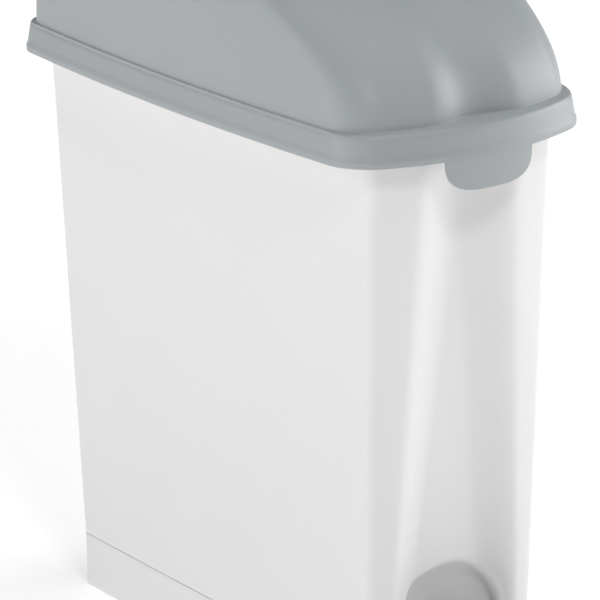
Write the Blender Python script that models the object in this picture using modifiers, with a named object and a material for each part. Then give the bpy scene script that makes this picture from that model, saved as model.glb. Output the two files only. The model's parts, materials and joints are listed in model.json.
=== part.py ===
"""Slim step-on waste bin: tapered body, plinth with the pedal mechanism, inner bucket and domed lid.

Axes: +X is the bin's left as seen from behind the pedal, -Y is the pedal end, +Z is up. The lengths below are
laid out with the lid's centre at Y = 0, and the last section moves the whole bin so that the origin is the
middle of its footprint.
"""

from math import atan, cos, pi, radians, sin, tan

import bmesh
import bpy
from mathutils import Matrix, Vector

MM = 0.001
GAP = 0.3 * MM                      # free space between pieces that touch
SMALL_ROUNDING = 1.5 * MM           # on the edges of the small moulded pieces

# Lid: half sizes are taken at the corners, the bows bulge the sides and the front between them
LID_HALF_WIDTH = 95.7 * MM
LID_HALF_LENGTH = 197.9 * MM
LID_WALL = 2.3 * MM
LID_CORNER = 20 * MM
LID_SIDE_BOW = 8.6 * MM
LID_FRONT_BOW = 24.4 * MM
SKIRT_BOTTOM = 401 * MM
SKIRT_HEIGHT = 21 * MM
SKIRT_DRAFT = 3.4 * MM
LEDGE_SIDE = 1.6 * MM
LEDGE_FRONT = 5 * MM
DOME_HEIGHT = 112 * MM
DOME_CORNER = 22 * MM
DOME_FRONT_BOW = 20 * MM
DOME_FRONT_SWEEP = 180 * MM
DOME_BACK_SWEEP = 62 * MM
TAB_SHARE = 0.4597                  # of the straight part of the front
TAB_HALF_WIDTH = TAB_SHARE * (LID_HALF_WIDTH - LID_CORNER)
TAB_DEPTH = 21.5 * MM
TAB_ROUNDNESS = 2.6

# Body shell, tapered towards the floor
RIM_ABOVE_SKIRT = 14.5 * MM         # the rim stands up inside the lid's skirt
LID_TO_BODY_SIDE = 21.3 * MM
LID_TO_BODY_END = 7.2 * MM
BODY_TOP = SKIRT_BOTTOM + RIM_ABOVE_SKIRT
BODY_HALF_WIDTH_TOP = LID_HALF_WIDTH - LID_TO_BODY_SIDE
BODY_HALF_LENGTH_TOP = LID_HALF_LENGTH - LID_TO_BODY_END
SIDE_TAPER = 5.1 * MM
END_TAPER = 17.3 * MM
BODY_WALL = 2.2 * MM
BODY_CORNER = 7 * MM
LEAST_CORNER = 2 * MM               # of the walls inside the body's corners
BODY_FRONT_BOW = 10 * MM
BODY_SIDE_BOW_TOP = 4 * MM
BODY_SIDE_BOW_BOTTOM = 1 * MM
BODY_HALF_WIDTH_BOTTOM = BODY_HALF_WIDTH_TOP - SIDE_TAPER
BODY_HALF_LENGTH_BOTTOM = BODY_HALF_LENGTH_TOP - END_TAPER
RIM_THICKNESS = 2.2 * MM
RIM_TURN = 6 * MM                   # height in which the wall turns out into the rim
RIM_TO_SKIRT = 1.2 * MM

# Flute down the front
FLUTE_DEPTH = 15 * MM
FLUTE_TO_SIDE_TOP = 33.4 * MM
FLUTE_TO_SIDE_BOTTOM = 14.3 * MM
FLUTE_SLOPE_BOTTOM = 22 * MM
FLUTE_HALF_WIDTH_TOP = BODY_HALF_WIDTH_TOP - FLUTE_TO_SIDE_TOP
FLUTE_HALF_WIDTH_BOTTOM = BODY_HALF_WIDTH_BOTTOM - FLUTE_TO_SIDE_BOTTOM
FLUTE_FLOOR_HALF_WIDTH = FLUTE_HALF_WIDTH_BOTTOM - FLUTE_SLOPE_BOTTOM
FLUTE_FLOOR_TOP = SKIRT_BOTTOM - 81 * MM
DOME_FLUTE_DEPTH = 9 * MM
DOME_FLUTE_HALF_WIDTH = 38 * MM
DOME_FLUTE_NARROWING = 0.13

# Plinth
FOOT_STAND = 1.2 * MM               # how far the rubber feet hold the plinth off the floor
PLINTH_TOP = 40.5 * MM
SEAM_GAP = 0.5 * MM
PLINTH_WALL = 2.5 * MM
PLINTH_FLOOR_THICKNESS = 2.5 * MM
PLINTH_FLOOR_RECESS = 2.5 * MM
SPIGOT_HEIGHT = 8 * MM              # above the seam, and the same below it
SPIGOT_WALL = 2 * MM
FIT_CLEARANCE = 0.5 * MM

# Pedal, and the arched opening that it works in
PEDAL_TO_SIDE = 34.3 * MM
PEDAL_SIZE = (2 * (BODY_HALF_WIDTH_BOTTOM - PEDAL_TO_SIDE), 46 * MM, 13 * MM)
PEDAL_ROUNDING = 5 * MM
PEDAL_REACH = 32.6 * MM             # from the body's corners out to the pedal's middle
PEDAL_CENTRE_Y = -BODY_HALF_LENGTH_BOTTOM - PEDAL_REACH
PEDAL_RISE = 2 * MM                 # of the pedal's middle over the lever's
TREAD_MARGIN = 7 * MM
TREAD_RECESS = 1 * MM
TREAD_THICKNESS = 1.6 * MM
RIB_COUNT = 5
RIB_MARGIN = 2 * MM
RIB_WIDTH = 2.6 * MM
RIB_HEIGHT = 2.4 * MM               # half of it in the pad
PEDAL_TO_ARCH = 6 * MM
ARCH_HALF_WIDTH = PEDAL_SIZE[0] / 2 + PEDAL_TO_ARCH
ARCH_TOP = 104 * MM
ARCH_SILL = 9 * MM

# Rear hinge of the lid
HINGE_BEHIND_SKIRT = 2.6 * MM
HINGE_ABOVE_SKIRT = 1 * MM
HINGE_FROM_CORNER = 20.7 * MM       # from where the rear corner's curve begins to the middle of a hinge
HINGE_Y = LID_HALF_LENGTH + HINGE_BEHIND_SKIRT
HINGE_Z = SKIRT_BOTTOM + HINGE_ABOVE_SKIRT
HINGE_SPACING = 2 * (LID_HALF_WIDTH - LID_CORNER - HINGE_FROM_CORNER)
HINGE_PIN_RADIUS = 1.9 * MM
HINGE_PIN_CLEARANCE = 0.35 * MM
HINGE_PIN_EXCESS = 3 * MM
KNUCKLE_RADIUS = HINGE_PIN_RADIUS + 3.6 * MM
BODY_KNUCKLE_WIDTH = 18 * MM
LID_KNUCKLE_WIDTH = 10 * MM
KNUCKLE_GAP = 0.4 * MM
KNUCKLE_RELIEF = 0.8 * MM
LUG_HEIGHT = 8.5 * MM
LID_SWING = radians(70)

# Push rod, which runs up inside the rear wall and turns the lid by a slotted ear
ROD_RADIUS = 2.25 * MM
ROD_CLEARANCE = 0.4 * MM            # round the rod in its guides
CRANK_ARM = 24 * MM                 # from the hinge axis square to the rod
EAR_THICKNESS = 5 * MM
SLOT_CLEARANCE = 1.1 * MM
EAR_RADIUS = ROD_RADIUS + SLOT_CLEARANCE + 2.85 * MM
ROD_X = EAR_THICKNESS / 2 + ROD_RADIUS + 2.25 * MM
ROD_BEND = 4 * MM
ROD_FOOT_RADIUS = ROD_RADIUS + 3.75 * MM
ROD_FOOT_HEIGHT = 18 * MM
ROD_FOOT_SOCKET = 6 * MM            # height of the solid end under the rod
ROD_FOOT_TO_LEVER = 1.2 * MM
CLIP_RADIUS = ROD_RADIUS + 2.35 * MM
CLIP_THICKNESS = 1 * MM
EAR_TO_NOTCH = 2.5 * MM
NOTCH_ABOVE_HINGE = 2 * MM
NOTCH_LENGTH = 16 * MM
PIN_END = 5 * MM                    # how far the rod's head stands out of the ear
GUIDE_HEIGHTS = (120 * MM, SKIRT_BOTTOM - 81 * MM)
GUIDE_WALL = 3.2 * MM
GUIDE_SHOULDER = 6.75 * MM
GUIDE_HEIGHT = 12 * MM

# Pedal lever
PIVOT_Y = -10 * MM
PIVOT_Z = PLINTH_TOP - 4.5 * MM
LEVER_HALF_WIDTH = 12 * MM
LEVER_SHEET = 2 * MM
AXLE_RADIUS = 3 * MM
AXLE_CLEARANCE = 0.35 * MM
LEVER_FLANGE = 2 * (AXLE_RADIUS + 1.5 * MM)
SADDLE_WIDTH = 9 * MM
SADDLE_LENGTH = 22 * MM
LEVER_TO_SADDLE = 4.5 * MM
SADDLE_X = LEVER_HALF_WIDTH + LEVER_TO_SADDLE + SADDLE_WIDTH / 2
AXLE_OVERHANG = 2.5 * MM
AXLE_LENGTH = 2 * (SADDLE_X + SADDLE_WIDTH / 2 + AXLE_OVERHANG)
CAP_LENGTH = 20 * MM
CAP_HEIGHT = AXLE_RADIUS + 6 * MM

# Inner bucket
BUCKET_TO_SIDE = 5.4 * MM           # from the body's outer face, at the top
BUCKET_TO_FRONT = 22.7 * MM
BUCKET_TO_EAR = 5 * MM              # free space the lid's ear swings through
BUCKET_TO_LEVER = 10.7 * MM         # free space over the lever's raised rear end
BUCKET_SIDE_DRAFT = 7 * MM
BUCKET_FRONT_DRAFT = 20 * MM
BUCKET_BACK_DRAFT = 17 * MM
BUCKET_TOP_HALF_WIDTH = BODY_HALF_WIDTH_TOP - BUCKET_TO_SIDE
BUCKET_TOP_FRONT = BUCKET_TO_FRONT - BODY_HALF_LENGTH_TOP
BUCKET_TOP_BACK = HINGE_Y - CRANK_ARM / cos(LID_SWING / 2) - SLOT_CLEARANCE - EAR_RADIUS - BUCKET_TO_EAR
BUCKET_BOTTOM_HALF_WIDTH = BUCKET_TOP_HALF_WIDTH - BUCKET_SIDE_DRAFT
BUCKET_BOTTOM_FRONT = BUCKET_TOP_FRONT + BUCKET_FRONT_DRAFT
BUCKET_BOTTOM_BACK = BUCKET_TOP_BACK - BUCKET_BACK_DRAFT
BUCKET_BOTTOM_Z = PIVOT_Z + CRANK_ARM * tan(LID_SWING / 2) + LEVER_FLANGE / 2 + BUCKET_TO_LEVER
BUCKET_WALL = 1.8 * MM
BUCKET_CORNER = 18 * MM
BUCKET_BASE_CHAMFER = 4 * MM
RIM_REST = 4.6 * MM                 # how far the bucket's rim lies over the body's
BUCKET_RIM_HALF_WIDTH = BODY_HALF_WIDTH_TOP + RIM_REST
BUCKET_RIM_FRONT = 6 * MM
BUCKET_RIM_BACK = 3 * MM

# Bail handle of the bucket
BAIL_WIRE_RADIUS = 2 * MM
BAIL_ARM = 84 * MM
BAIL_BEND = 16 * MM
BAIL_DROP = 9 * MM                  # pivot below the bucket's rim
BAIL_LIFT = radians(7)              # how far the folded bail rises towards its grip
BAIL_TO_WALL = 6 * MM
BAIL_HUB = 2.5 * MM                 # how far the wire's ends stand out of the bucket's sides
BAIL_CLEARANCE = 0.4 * MM
GRIP_RADIUS = 6.5 * MM
GRIP_TO_BEND = 8 * MM
BAIL_HALF_WIDTH = BUCKET_TOP_HALF_WIDTH - BAIL_TO_WALL
GRIP_LENGTH = 2 * (BAIL_HALF_WIDTH - BAIL_BEND - GRIP_TO_BEND)

# Feet, screws and lid bumpers
FOOT_RADIUS = 9 * MM
FOOT_TO_SIDE = 21.3 * MM
FOOT_TO_END = 37.4 * MM
SCREW_TO_SIDE = 12.3 * MM
SCREW_TO_END = 21.4 * MM
FOOT_X = BODY_HALF_WIDTH_BOTTOM - FOOT_TO_SIDE
FOOT_Y = BODY_HALF_LENGTH_BOTTOM - FOOT_TO_END
SCREW_X = BODY_HALF_WIDTH_BOTTOM - SCREW_TO_SIDE
SCREW_Y = BODY_HALF_LENGTH_BOTTOM - SCREW_TO_END
SCREW_SHANK_RADIUS = 1.7 * MM
SCREW_HEAD_RADIUS = 3.8 * MM
SCREW_HEAD_HEIGHT = 2.2 * MM
SCREW_DRIVE_RADIUS = 1.6 * MM
SCREW_DRIVE_DEPTH = 1.2 * MM
SCREW_END_SPACE = 10 * MM
BOSS_RADIUS = SCREW_SHANK_RADIUS + 3.8 * MM
BOSS_HEIGHT = 26 * MM
BOSS_WEB = 3 * MM
BUMPER_RADIUS = 3.5 * MM
BUMPER_TO_SIDE = 35.7 * MM
BUMPER_X = LID_HALF_WIDTH - BUMPER_TO_SIDE
BUMPER_TO_FRONT = 9.5 * MM
SEAT_DEPTH = 3 * MM                 # from the ledge's top down to the bumper
SEAT_SIZE = (9 * MM, 11 * MM)
SEAT_TO_BACK = 2.5 * MM             # the seat's middle behind the bumper's

# Colours as linear RGB
WHITE = (0.80, 0.80, 0.79)
GREY = (0.37, 0.40, 0.41)
DARK_GREY = (0.12, 0.12, 0.125)
STEEL = (0.60, 0.60, 0.61)
BLACK = (0.03, 0.03, 0.03)


# ---------------------------------------------------------------- scene and materials

for old in list(bpy.data.objects):
    bpy.data.objects.remove(old, do_unlink=True)

parts = bpy.data.collections.new("slim_step_on_bin")
cutters = bpy.data.collections.new("cutters")
bpy.context.scene.collection.children.link(parts)
bpy.context.scene.collection.children.link(cutters)


def finish(name, colour, roughness, metallic=0.0):
    """A Principled material with one colour."""
    material = bpy.data.materials.new(name)
    material.use_nodes = True
    shader = material.node_tree.nodes["Principled BSDF"]
    shader.inputs["Base Color"].default_value = (*colour, 1.0)
    shader.inputs["Roughness"].default_value = roughness
    shader.inputs["Metallic"].default_value = metallic
    material.diffuse_color = (*colour, 1.0)
    return material


WHITE_POLYPROPYLENE = finish("white_polypropylene", WHITE, 0.38)
GREY_POLYPROPYLENE = finish("grey_polypropylene", GREY, 0.33)
DARK_POLYPROPYLENE = finish("dark_polypropylene", DARK_GREY, 0.45)
BLACK_RUBBER = finish("black_rubber", BLACK, 0.8)
ZINC_STEEL = finish("zinc_plated_steel", STEEL, 0.3, 1.0)


# ---------------------------------------------------------------- modelling helpers

def from_bmesh(name, form, material=None):
    """Put a form in the scene as one piece of the bin."""
    mesh = bpy.data.meshes.new(name)
    form.to_mesh(mesh)
    form.free()
    if material:
        mesh.materials.append(material)
    piece = bpy.data.objects.new(name, mesh)
    parts.objects.link(piece)
    return piece


def as_cutter(piece):
    """Keep a solid for Booleans only."""
    if piece.name in parts.objects:
        parts.objects.unlink(piece)
        cutters.objects.link(piece)
    piece.hide_render = True
    piece.display_type = "WIRE"
    return piece


def box(name, size, centre, material=None):
    form = bmesh.new()
    bmesh.ops.create_cube(form, size=1.0)
    bmesh.ops.scale(form, vec=size, verts=form.verts)
    bmesh.ops.translate(form, vec=centre, verts=form.verts)
    return from_bmesh(name, form, material)


def cylinder(name, radius, length, centre, axis="Z", material=None, sides=20):
    """A round bar along X or Z."""
    form = bmesh.new()
    bmesh.ops.create_cone(form, cap_ends=True, segments=sides, radius1=radius, radius2=radius, depth=length)
    if axis == "X":
        bmesh.ops.transform(form, matrix=Matrix.Rotation(pi / 2, 4, "Y"), verts=form.verts)
    bmesh.ops.translate(form, vec=centre, verts=form.verts)
    return from_bmesh(name, form, material)


def prism(name, outline, half_depth, place):
    """A flat outline in its own XY plane, made thick both ways and then placed by a matrix."""
    curve = bpy.data.curves.new(name + "_outline", "CURVE")
    curve.dimensions = "2D"
    curve.fill_mode = "BOTH"
    curve.extrude = half_depth
    spline = curve.splines.new("POLY")
    spline.points.add(len(outline) - 1)
    for point, (u, v) in zip(spline.points, outline):
        point.co = (u, v, 0.0, 1.0)
    spline.use_cyclic_u = True
    return meshed(name, curve, place, None)


def wire(name, route, radius, material):
    """A bent wire along a list of points."""
    curve = bpy.data.curves.new(name + "_route", "CURVE")
    curve.dimensions = "3D"
    curve.bevel_depth = radius
    curve.bevel_resolution = 2
    curve.use_fill_caps = True
    spline = curve.splines.new("POLY")
    spline.points.add(len(route) - 1)
    for point, place in zip(spline.points, route):
        point.co = (*place, 1.0)
    return meshed(name, curve, Matrix.Identity(4), material)


def meshed(name, curve, place, material):
    """Turn a curve into a closed mesh with its caps welded on."""
    source = bpy.data.objects.new(name + "_curve", curve)
    cutters.objects.link(source)
    evaluated = source.evaluated_get(bpy.context.evaluated_depsgraph_get())
    mesh = bpy.data.meshes.new_from_object(evaluated)
    bpy.data.objects.remove(source, do_unlink=True)
    form = bmesh.new()
    form.from_mesh(mesh)
    bmesh.ops.remove_doubles(form, verts=form.verts, dist=0.000001)
    bmesh.ops.transform(form, matrix=place, verts=form.verts)
    bmesh.ops.recalc_face_normals(form, faces=form.faces)
    bpy.data.meshes.remove(mesh)
    return from_bmesh(name, form, material)


def arc(centre, radius, start, end, steps):
    """Points on a circular arc in a plane, angles in degrees."""
    turns = [radians(start + (end - start) * i / steps) for i in range(steps + 1)]
    return [(centre[0] + radius * cos(t), centre[1] + radius * sin(t)) for t in turns]


def combine(piece, other, operation):
    """Cut another solid out of a piece, or join it on."""
    as_cutter(other)
    step = piece.modifiers.new(other.name, "BOOLEAN")
    step.operation = operation
    step.solver = "EXACT"
    step.object = other


def cut(piece, *tools):
    for tool in tools:
        combine(piece, tool, "DIFFERENCE")


def join(piece, *additions):
    for addition in additions:
        combine(piece, addition, "UNION")


def bevel(piece, width, segments=2, angle=radians(40)):
    step = piece.modifiers.new("rounded_edges", "BEVEL")
    step.width = width
    step.segments = segments
    step.limit_method = "ANGLE"
    step.angle_limit = angle


def thicken(piece, wall):
    """Give an open outer surface a wall on its inner side."""
    step = piece.modifiers.new("wall", "SOLIDIFY")
    step.thickness = wall
    step.offset = -1.0
    step.use_even_offset = True


def move_origin(piece, origin):
    """Put a moving piece's origin on its joint axis and leave its shape where it is."""
    piece.data.transform(Matrix.Translation(-Vector(origin)))
    piece.location = origin


def smooth(piece, angle=35):
    piece.data.shade_smooth()
    piece.data.set_sharp_from_angle(angle=radians(angle))


# ---------------------------------------------------------------- plan outlines and lofts

FRONT_COLUMNS = (0.10, 0.20, 0.30, 0.38, 0.46, 0.53, 0.60, 0.68, 0.78, 0.89)
LID_COLUMNS = (*(TAB_SHARE * f for f in (0.305, 0.566, 0.74, 0.87, 0.946, 0.983, 0.9985)), 0.53, 0.66, 0.83)
PLAIN_COLUMNS = (0.33, 0.67)
SIDE_COLUMNS = (0.20, 0.45, 0.72)


def both_ways(half):
    return [-f for f in reversed(half)] + [0.0] + list(half)


def plan(half_width, front, back, corner, side_bow=0.0, front_bow=0.0, columns=PLAIN_COLUMNS, corner_steps=5):
    """A rounded rectangle seen from above, anticlockwise from its front left corner, with bulging sides."""
    corner = min(corner, 0.98 * half_width)
    inner = half_width - corner
    middle = (front + back) / 2
    reach = (back - front) / 2
    points = arc((-inner, front + corner), corner, 180, 270, corner_steps)
    points += [(inner * f, front) for f in both_ways(columns)]
    points += arc((inner, front + corner), corner, 270, 360, corner_steps)
    points += [(half_width, middle + (reach - corner) * f) for f in both_ways(SIDE_COLUMNS)]
    points += arc((inner, back - corner), corner, 0, 90, corner_steps)
    points += [(-inner * f, back) for f in both_ways(columns)]
    points += arc((-inner, back - corner), corner, 90, 180, corner_steps)
    points += [(-half_width, middle - (reach - corner) * f) for f in both_ways(SIDE_COLUMNS)]
    bowed = []
    for x, y in points:
        away = (y - middle) / reach
        share = min(1.0, abs(x) / inner) if inner > 0 else 1.0
        bulge = side_bow * (1 - away * away) * share * (1 if x > 0 else -1)
        push = front_bow * (1 - (x / half_width) ** 2) * min(1.0, max(0.0, -away * reach / (reach - corner)))
        bowed.append((x + bulge, y - push))
    return bowed


def ease(t):
    t = min(1.0, max(0.0, t))
    return t * t * (3 - 2 * t)


def loft(name, rings, material, close_bottom=False, close_top=False):
    """An outer surface through rings of equally many points, listed from the bottom up."""
    form = bmesh.new()
    levels = [[form.verts.new(p) for p in ring] for ring in rings]
    for lower, upper in zip(levels, levels[1:]):
        for i in range(len(lower)):
            j = (i + 1) % len(lower)
            form.faces.new((lower[i], lower[j], upper[j], upper[i]))
    if close_bottom:
        form.faces.new(reversed(levels[0]))
    if close_top:
        form.faces.new(levels[-1])
    return from_bmesh(name, form, material)


def level(outline, z):
    return [(x, y, z) for x, y in outline]


# ---------------------------------------------------------------- body shell

def taper_share(z):
    """0 at the skirt's lower edge, 1 at the seam above the plinth."""
    return (SKIRT_BOTTOM - z) / (SKIRT_BOTTOM - PLINTH_TOP)


def body_half_width(z):
    return BODY_HALF_WIDTH_TOP - SIDE_TAPER * taper_share(z)


def body_half_length(z):
    return BODY_HALF_LENGTH_TOP - END_TAPER * taper_share(z)


def flute(x, z):
    """How far the front is pressed in at a place across the bin and a height."""
    share = min(1.0, max(0.0, taper_share(z)))
    outer = FLUTE_HALF_WIDTH_TOP + (FLUTE_HALF_WIDTH_BOTTOM - FLUTE_HALF_WIDTH_TOP) * share
    inner = FLUTE_FLOOR_HALF_WIDTH * max(0.0, (FLUTE_FLOOR_TOP - z) / (FLUTE_FLOOR_TOP - PLINTH_TOP))
    return FLUTE_DEPTH * ease((outer - abs(x)) / (outer - inner))


def body_plan(z, inset=0.0):
    """The body's outline at a height, moved inwards by an inset."""
    share = taper_share(z)
    half_width = body_half_width(z) - inset
    half_length = body_half_length(z) - inset
    side_bow = BODY_SIDE_BOW_TOP + (BODY_SIDE_BOW_BOTTOM - BODY_SIDE_BOW_TOP) * share
    outline = plan(half_width, -half_length, half_length, max(BODY_CORNER - inset, LEAST_CORNER), side_bow,
                   BODY_FRONT_BOW, FRONT_COLUMNS)
    return [(x, y + flute(x, z) if y < -half_length / 2 else y) for x, y in outline]


def rear_wall_y(z):
    """The inner face of the body's rear wall."""
    return body_half_length(z) - BODY_WALL


def rim_plan():
    """The body's top flange follows the inside of the lid's skirt."""
    share = (BODY_TOP - SKIRT_BOTTOM) / SKIRT_HEIGHT
    inset = SKIRT_DRAFT * share + LID_WALL + RIM_TO_SKIRT
    reach = LID_HALF_LENGTH - inset
    return plan(LID_HALF_WIDTH - inset, -reach, reach, LID_CORNER - inset, LID_SIDE_BOW, LID_FRONT_BOW,
                FRONT_COLUMNS)


body_bottom = PLINTH_TOP + SEAM_GAP
body_heights = [body_bottom + (BODY_TOP - RIM_TURN - body_bottom) * i / 7 for i in range(8)]
body_rings = [level(body_plan(z), z) for z in body_heights]
body_rings.append(level(body_plan(BODY_TOP), BODY_TOP - RIM_THICKNESS - RIM_TURN / 4))
body_rings.append(level(rim_plan(), BODY_TOP - RIM_THICKNESS))
body_shell = loft("body_shell", body_rings, WHITE_POLYPROPYLENE)
thicken(body_shell, BODY_WALL)


def corners(x, y):
    return [(sx * x, sy * y) for sx in (-1, 1) for sy in (-1, 1)]


def corner_name(x, y):
    return ("front" if y < 0 else "rear") + ("_right" if x < 0 else "_left")


for x, y in corners(SCREW_X, SCREW_Y):
    z = body_bottom + BOSS_HEIGHT / 2
    boss = cylinder("boss_" + corner_name(x, y), BOSS_RADIUS, BOSS_HEIGHT, (x, y, z), sides=16)
    outward = body_half_width(z) - abs(x) - BODY_WALL / 2
    web = box("boss_web_" + corner_name(x, y), (outward, BOSS_WEB, BOSS_HEIGHT - 2 * MM),
              (x + (outward / 2 if x > 0 else -outward / 2), y, z + 1 * MM))
    pilot = cylinder("boss_pilot_" + corner_name(x, y), SCREW_SHANK_RADIUS + GAP, BOSS_HEIGHT,
                     (x, y, z - (SCREW_END_SPACE - 4 * MM)), sides=12)
    join(body_shell, boss, web)
    cut(body_shell, pilot)

for side in (-1, 1):
    x = side * HINGE_SPACING / 2
    tag = "left" if side > 0 else "right"
    lug_top = HINGE_Z - KNUCKLE_RADIUS / 2
    lug_bottom = lug_top - LUG_HEIGHT
    lug_inner = rear_wall_y(lug_bottom) + BODY_WALL / 2
    lug = box("hinge_lug_" + tag, (BODY_KNUCKLE_WIDTH, HINGE_Y - lug_inner, LUG_HEIGHT),
              (x, (HINGE_Y + lug_inner) / 2, lug_top - LUG_HEIGHT / 2))
    knuckle = cylinder("body_knuckle_" + tag, KNUCKLE_RADIUS, BODY_KNUCKLE_WIDTH, (x, HINGE_Y, HINGE_Z), "X")
    bore = cylinder("body_knuckle_bore_" + tag, HINGE_PIN_RADIUS + HINGE_PIN_CLEARANCE,
                    2 * BODY_KNUCKLE_WIDTH, (x, HINGE_Y, HINGE_Z), "X", sides=16)
    join(body_shell, lug, knuckle)
    cut(body_shell, bore)

notch_depth = BODY_TOP - HINGE_Z - NOTCH_ABOVE_HINGE
ear_notch = box("ear_notch", (EAR_THICKNESS + 2 * EAR_TO_NOTCH, NOTCH_LENGTH, 2 * notch_depth),
                (0, body_half_length(BODY_TOP), BODY_TOP))
cut(body_shell, ear_notch)


def arch_outline(half_width, top, sill):
    """An opening with straight sides and a full round top, drawn across and up."""
    spring = top - half_width
    return [(-half_width, sill), (half_width, sill)] + arc((0, spring), half_width, 0, 180, 16)


UPRIGHT = Matrix.Rotation(pi / 2, 4, "X")   # turns an XY outline to stand in the XZ plane, facing -Y


def arch_cutter(name):
    centre_y = -body_half_length(PLINTH_TOP)
    return prism(name, arch_outline(ARCH_HALF_WIDTH, ARCH_TOP, ARCH_SILL), 2 * FLUTE_DEPTH,
                 Matrix.Translation((0, centre_y, 0)) @ UPRIGHT)


cut(body_shell, arch_cutter("body_arch"))


# ---------------------------------------------------------------- plinth

def plinth_ring(inset, z):
    return level(body_plan(PLINTH_TOP, inset), z)


plinth_heights = [FOOT_STAND + (PLINTH_TOP - FOOT_STAND) * f for f in (0, 0.33, 0.66, 1)]
plinth = loft("plinth", [plinth_ring(0, z) for z in plinth_heights], WHITE_POLYPROPYLENE)
thicken(plinth, PLINTH_WALL)

floor_bottom = FOOT_STAND + PLINTH_FLOOR_RECESS
floor_top = floor_bottom + PLINTH_FLOOR_THICKNESS
floor_plate = loft("floor_plate", [plinth_ring(PLINTH_WALL / 2, floor_bottom),
                                   plinth_ring(PLINTH_WALL / 2, floor_top)], None, True, True)

spigot_inset = BODY_WALL + FIT_CLEARANCE
spigot = loft("spigot", [plinth_ring(PLINTH_WALL / 2, PLINTH_TOP - SPIGOT_HEIGHT),
                         plinth_ring(PLINTH_WALL / 2, PLINTH_TOP - SPIGOT_WALL),
                         plinth_ring(spigot_inset, body_bottom),
                         plinth_ring(spigot_inset, PLINTH_TOP + SPIGOT_HEIGHT)], None)
thicken(spigot, SPIGOT_WALL)
join(plinth, floor_plate, spigot)

for x, y in corners(SCREW_X, SCREW_Y):
    tag = corner_name(x, y)
    column_height = PLINTH_TOP - floor_bottom - PLINTH_FLOOR_THICKNESS / 2
    column = cylinder("column_" + tag, BOSS_RADIUS, column_height,
                      (x, y, PLINTH_TOP - column_height / 2), sides=16)
    through = cylinder("column_bore_" + tag, SCREW_SHANK_RADIUS + GAP, 2 * PLINTH_TOP, (x, y, PLINTH_TOP),
                       sides=12)
    head_room = cylinder("column_head_" + tag, SCREW_HEAD_RADIUS + GAP,
                         2 * (floor_bottom + SCREW_HEAD_HEIGHT), (x, y, 0), sides=16)
    relief = cylinder("spigot_relief_" + tag, BOSS_RADIUS + 2 * FIT_CLEARANCE, 2 * SPIGOT_HEIGHT,
                      (x, y, PLINTH_TOP + SPIGOT_HEIGHT), sides=16)
    relief_slot = box("spigot_slot_" + tag,
                      (4 * BOSS_RADIUS, BOSS_WEB + 4 * FIT_CLEARANCE, 2 * SPIGOT_HEIGHT),
                      (x + (1.5 if x > 0 else -1.5) * BOSS_RADIUS, y, PLINTH_TOP + SPIGOT_HEIGHT))
    join(plinth, column)
    cut(plinth, through, head_room, relief, relief_slot)

for side in (-1, 1):
    tag = "left" if side > 0 else "right"
    height = PIVOT_Z - floor_top + PLINTH_FLOOR_THICKNESS / 2
    saddle = box("saddle_" + tag, (SADDLE_WIDTH, SADDLE_LENGTH, height),
                 (side * SADDLE_X, PIVOT_Y, PIVOT_Z - height / 2))
    join(plinth, saddle)
axle_seat = cylinder("axle_seat", AXLE_RADIUS + AXLE_CLEARANCE, AXLE_LENGTH + 2 * AXLE_OVERHANG,
                     (0, PIVOT_Y, PIVOT_Z), "X")
cut(plinth, axle_seat, arch_cutter("plinth_arch"))


# ---------------------------------------------------------------- feet and base screws

for x, y in corners(FOOT_X, FOOT_Y):
    tag = corner_name(x, y)
    foot_top = floor_bottom - GAP
    foot = cylinder("foot_" + tag, FOOT_RADIUS, foot_top, (x, y, foot_top / 2), "Z", BLACK_RUBBER, sides=24)
    bevel(foot, 0.6 * MM, 1)
    smooth(foot)

for x, y in corners(SCREW_X, SCREW_Y):
    tag = corner_name(x, y)
    head_top = floor_bottom + SCREW_HEAD_HEIGHT - GAP
    shank_top = body_bottom + BOSS_HEIGHT - SCREW_END_SPACE
    screw = cylinder("base_screw_" + tag, SCREW_HEAD_RADIUS, SCREW_HEAD_HEIGHT,
                     (x, y, head_top - SCREW_HEAD_HEIGHT / 2), "Z", ZINC_STEEL, sides=16)
    shank = cylinder("shank_" + tag, SCREW_SHANK_RADIUS, shank_top - head_top + 1 * MM,
                     (x, y, (shank_top + head_top - 1 * MM) / 2), sides=10)
    recess = cylinder("drive_recess_" + tag, SCREW_DRIVE_RADIUS, 2 * SCREW_DRIVE_DEPTH,
                      (x, y, head_top - SCREW_HEAD_HEIGHT), sides=6)
    join(screw, shank)
    cut(screw, recess)
    smooth(screw)


# ---------------------------------------------------------------- push rod and lid crank geometry

rod_lean = atan(END_TAPER / (SKIRT_BOTTOM - PLINTH_TOP))
rod_up = Vector((0, sin(rod_lean), cos(rod_lean)))
rod_back = Vector((0, cos(rod_lean), -sin(rod_lean)))
hinge_point = Vector((0, HINGE_Y, HINGE_Z))
rod_stroke = 2 * CRANK_ARM * tan(LID_SWING / 2)
pin_rest = hinge_point - rod_back * CRANK_ARM - rod_up * (rod_stroke / 2)


def rod_point(z):
    """The place on the rod's centre line at a height."""
    return pin_rest + rod_up * ((z - pin_rest.z) / rod_up.z)


lever_reach = rod_point(PIVOT_Z).y - PIVOT_Y
lever_swing = rod_stroke / lever_reach
lever_tilt = lever_swing / 2


# ---------------------------------------------------------------- pedal lever, axle and caps

LEVER_TILT = Matrix.Translation((0, PIVOT_Y, PIVOT_Z)) @ Matrix.Rotation(-lever_tilt, 4, "X")


def tilted(piece):
    """Turn a piece drawn level about the pivot to where the lever rests."""
    piece.data.transform(LEVER_TILT)
    return piece


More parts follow.
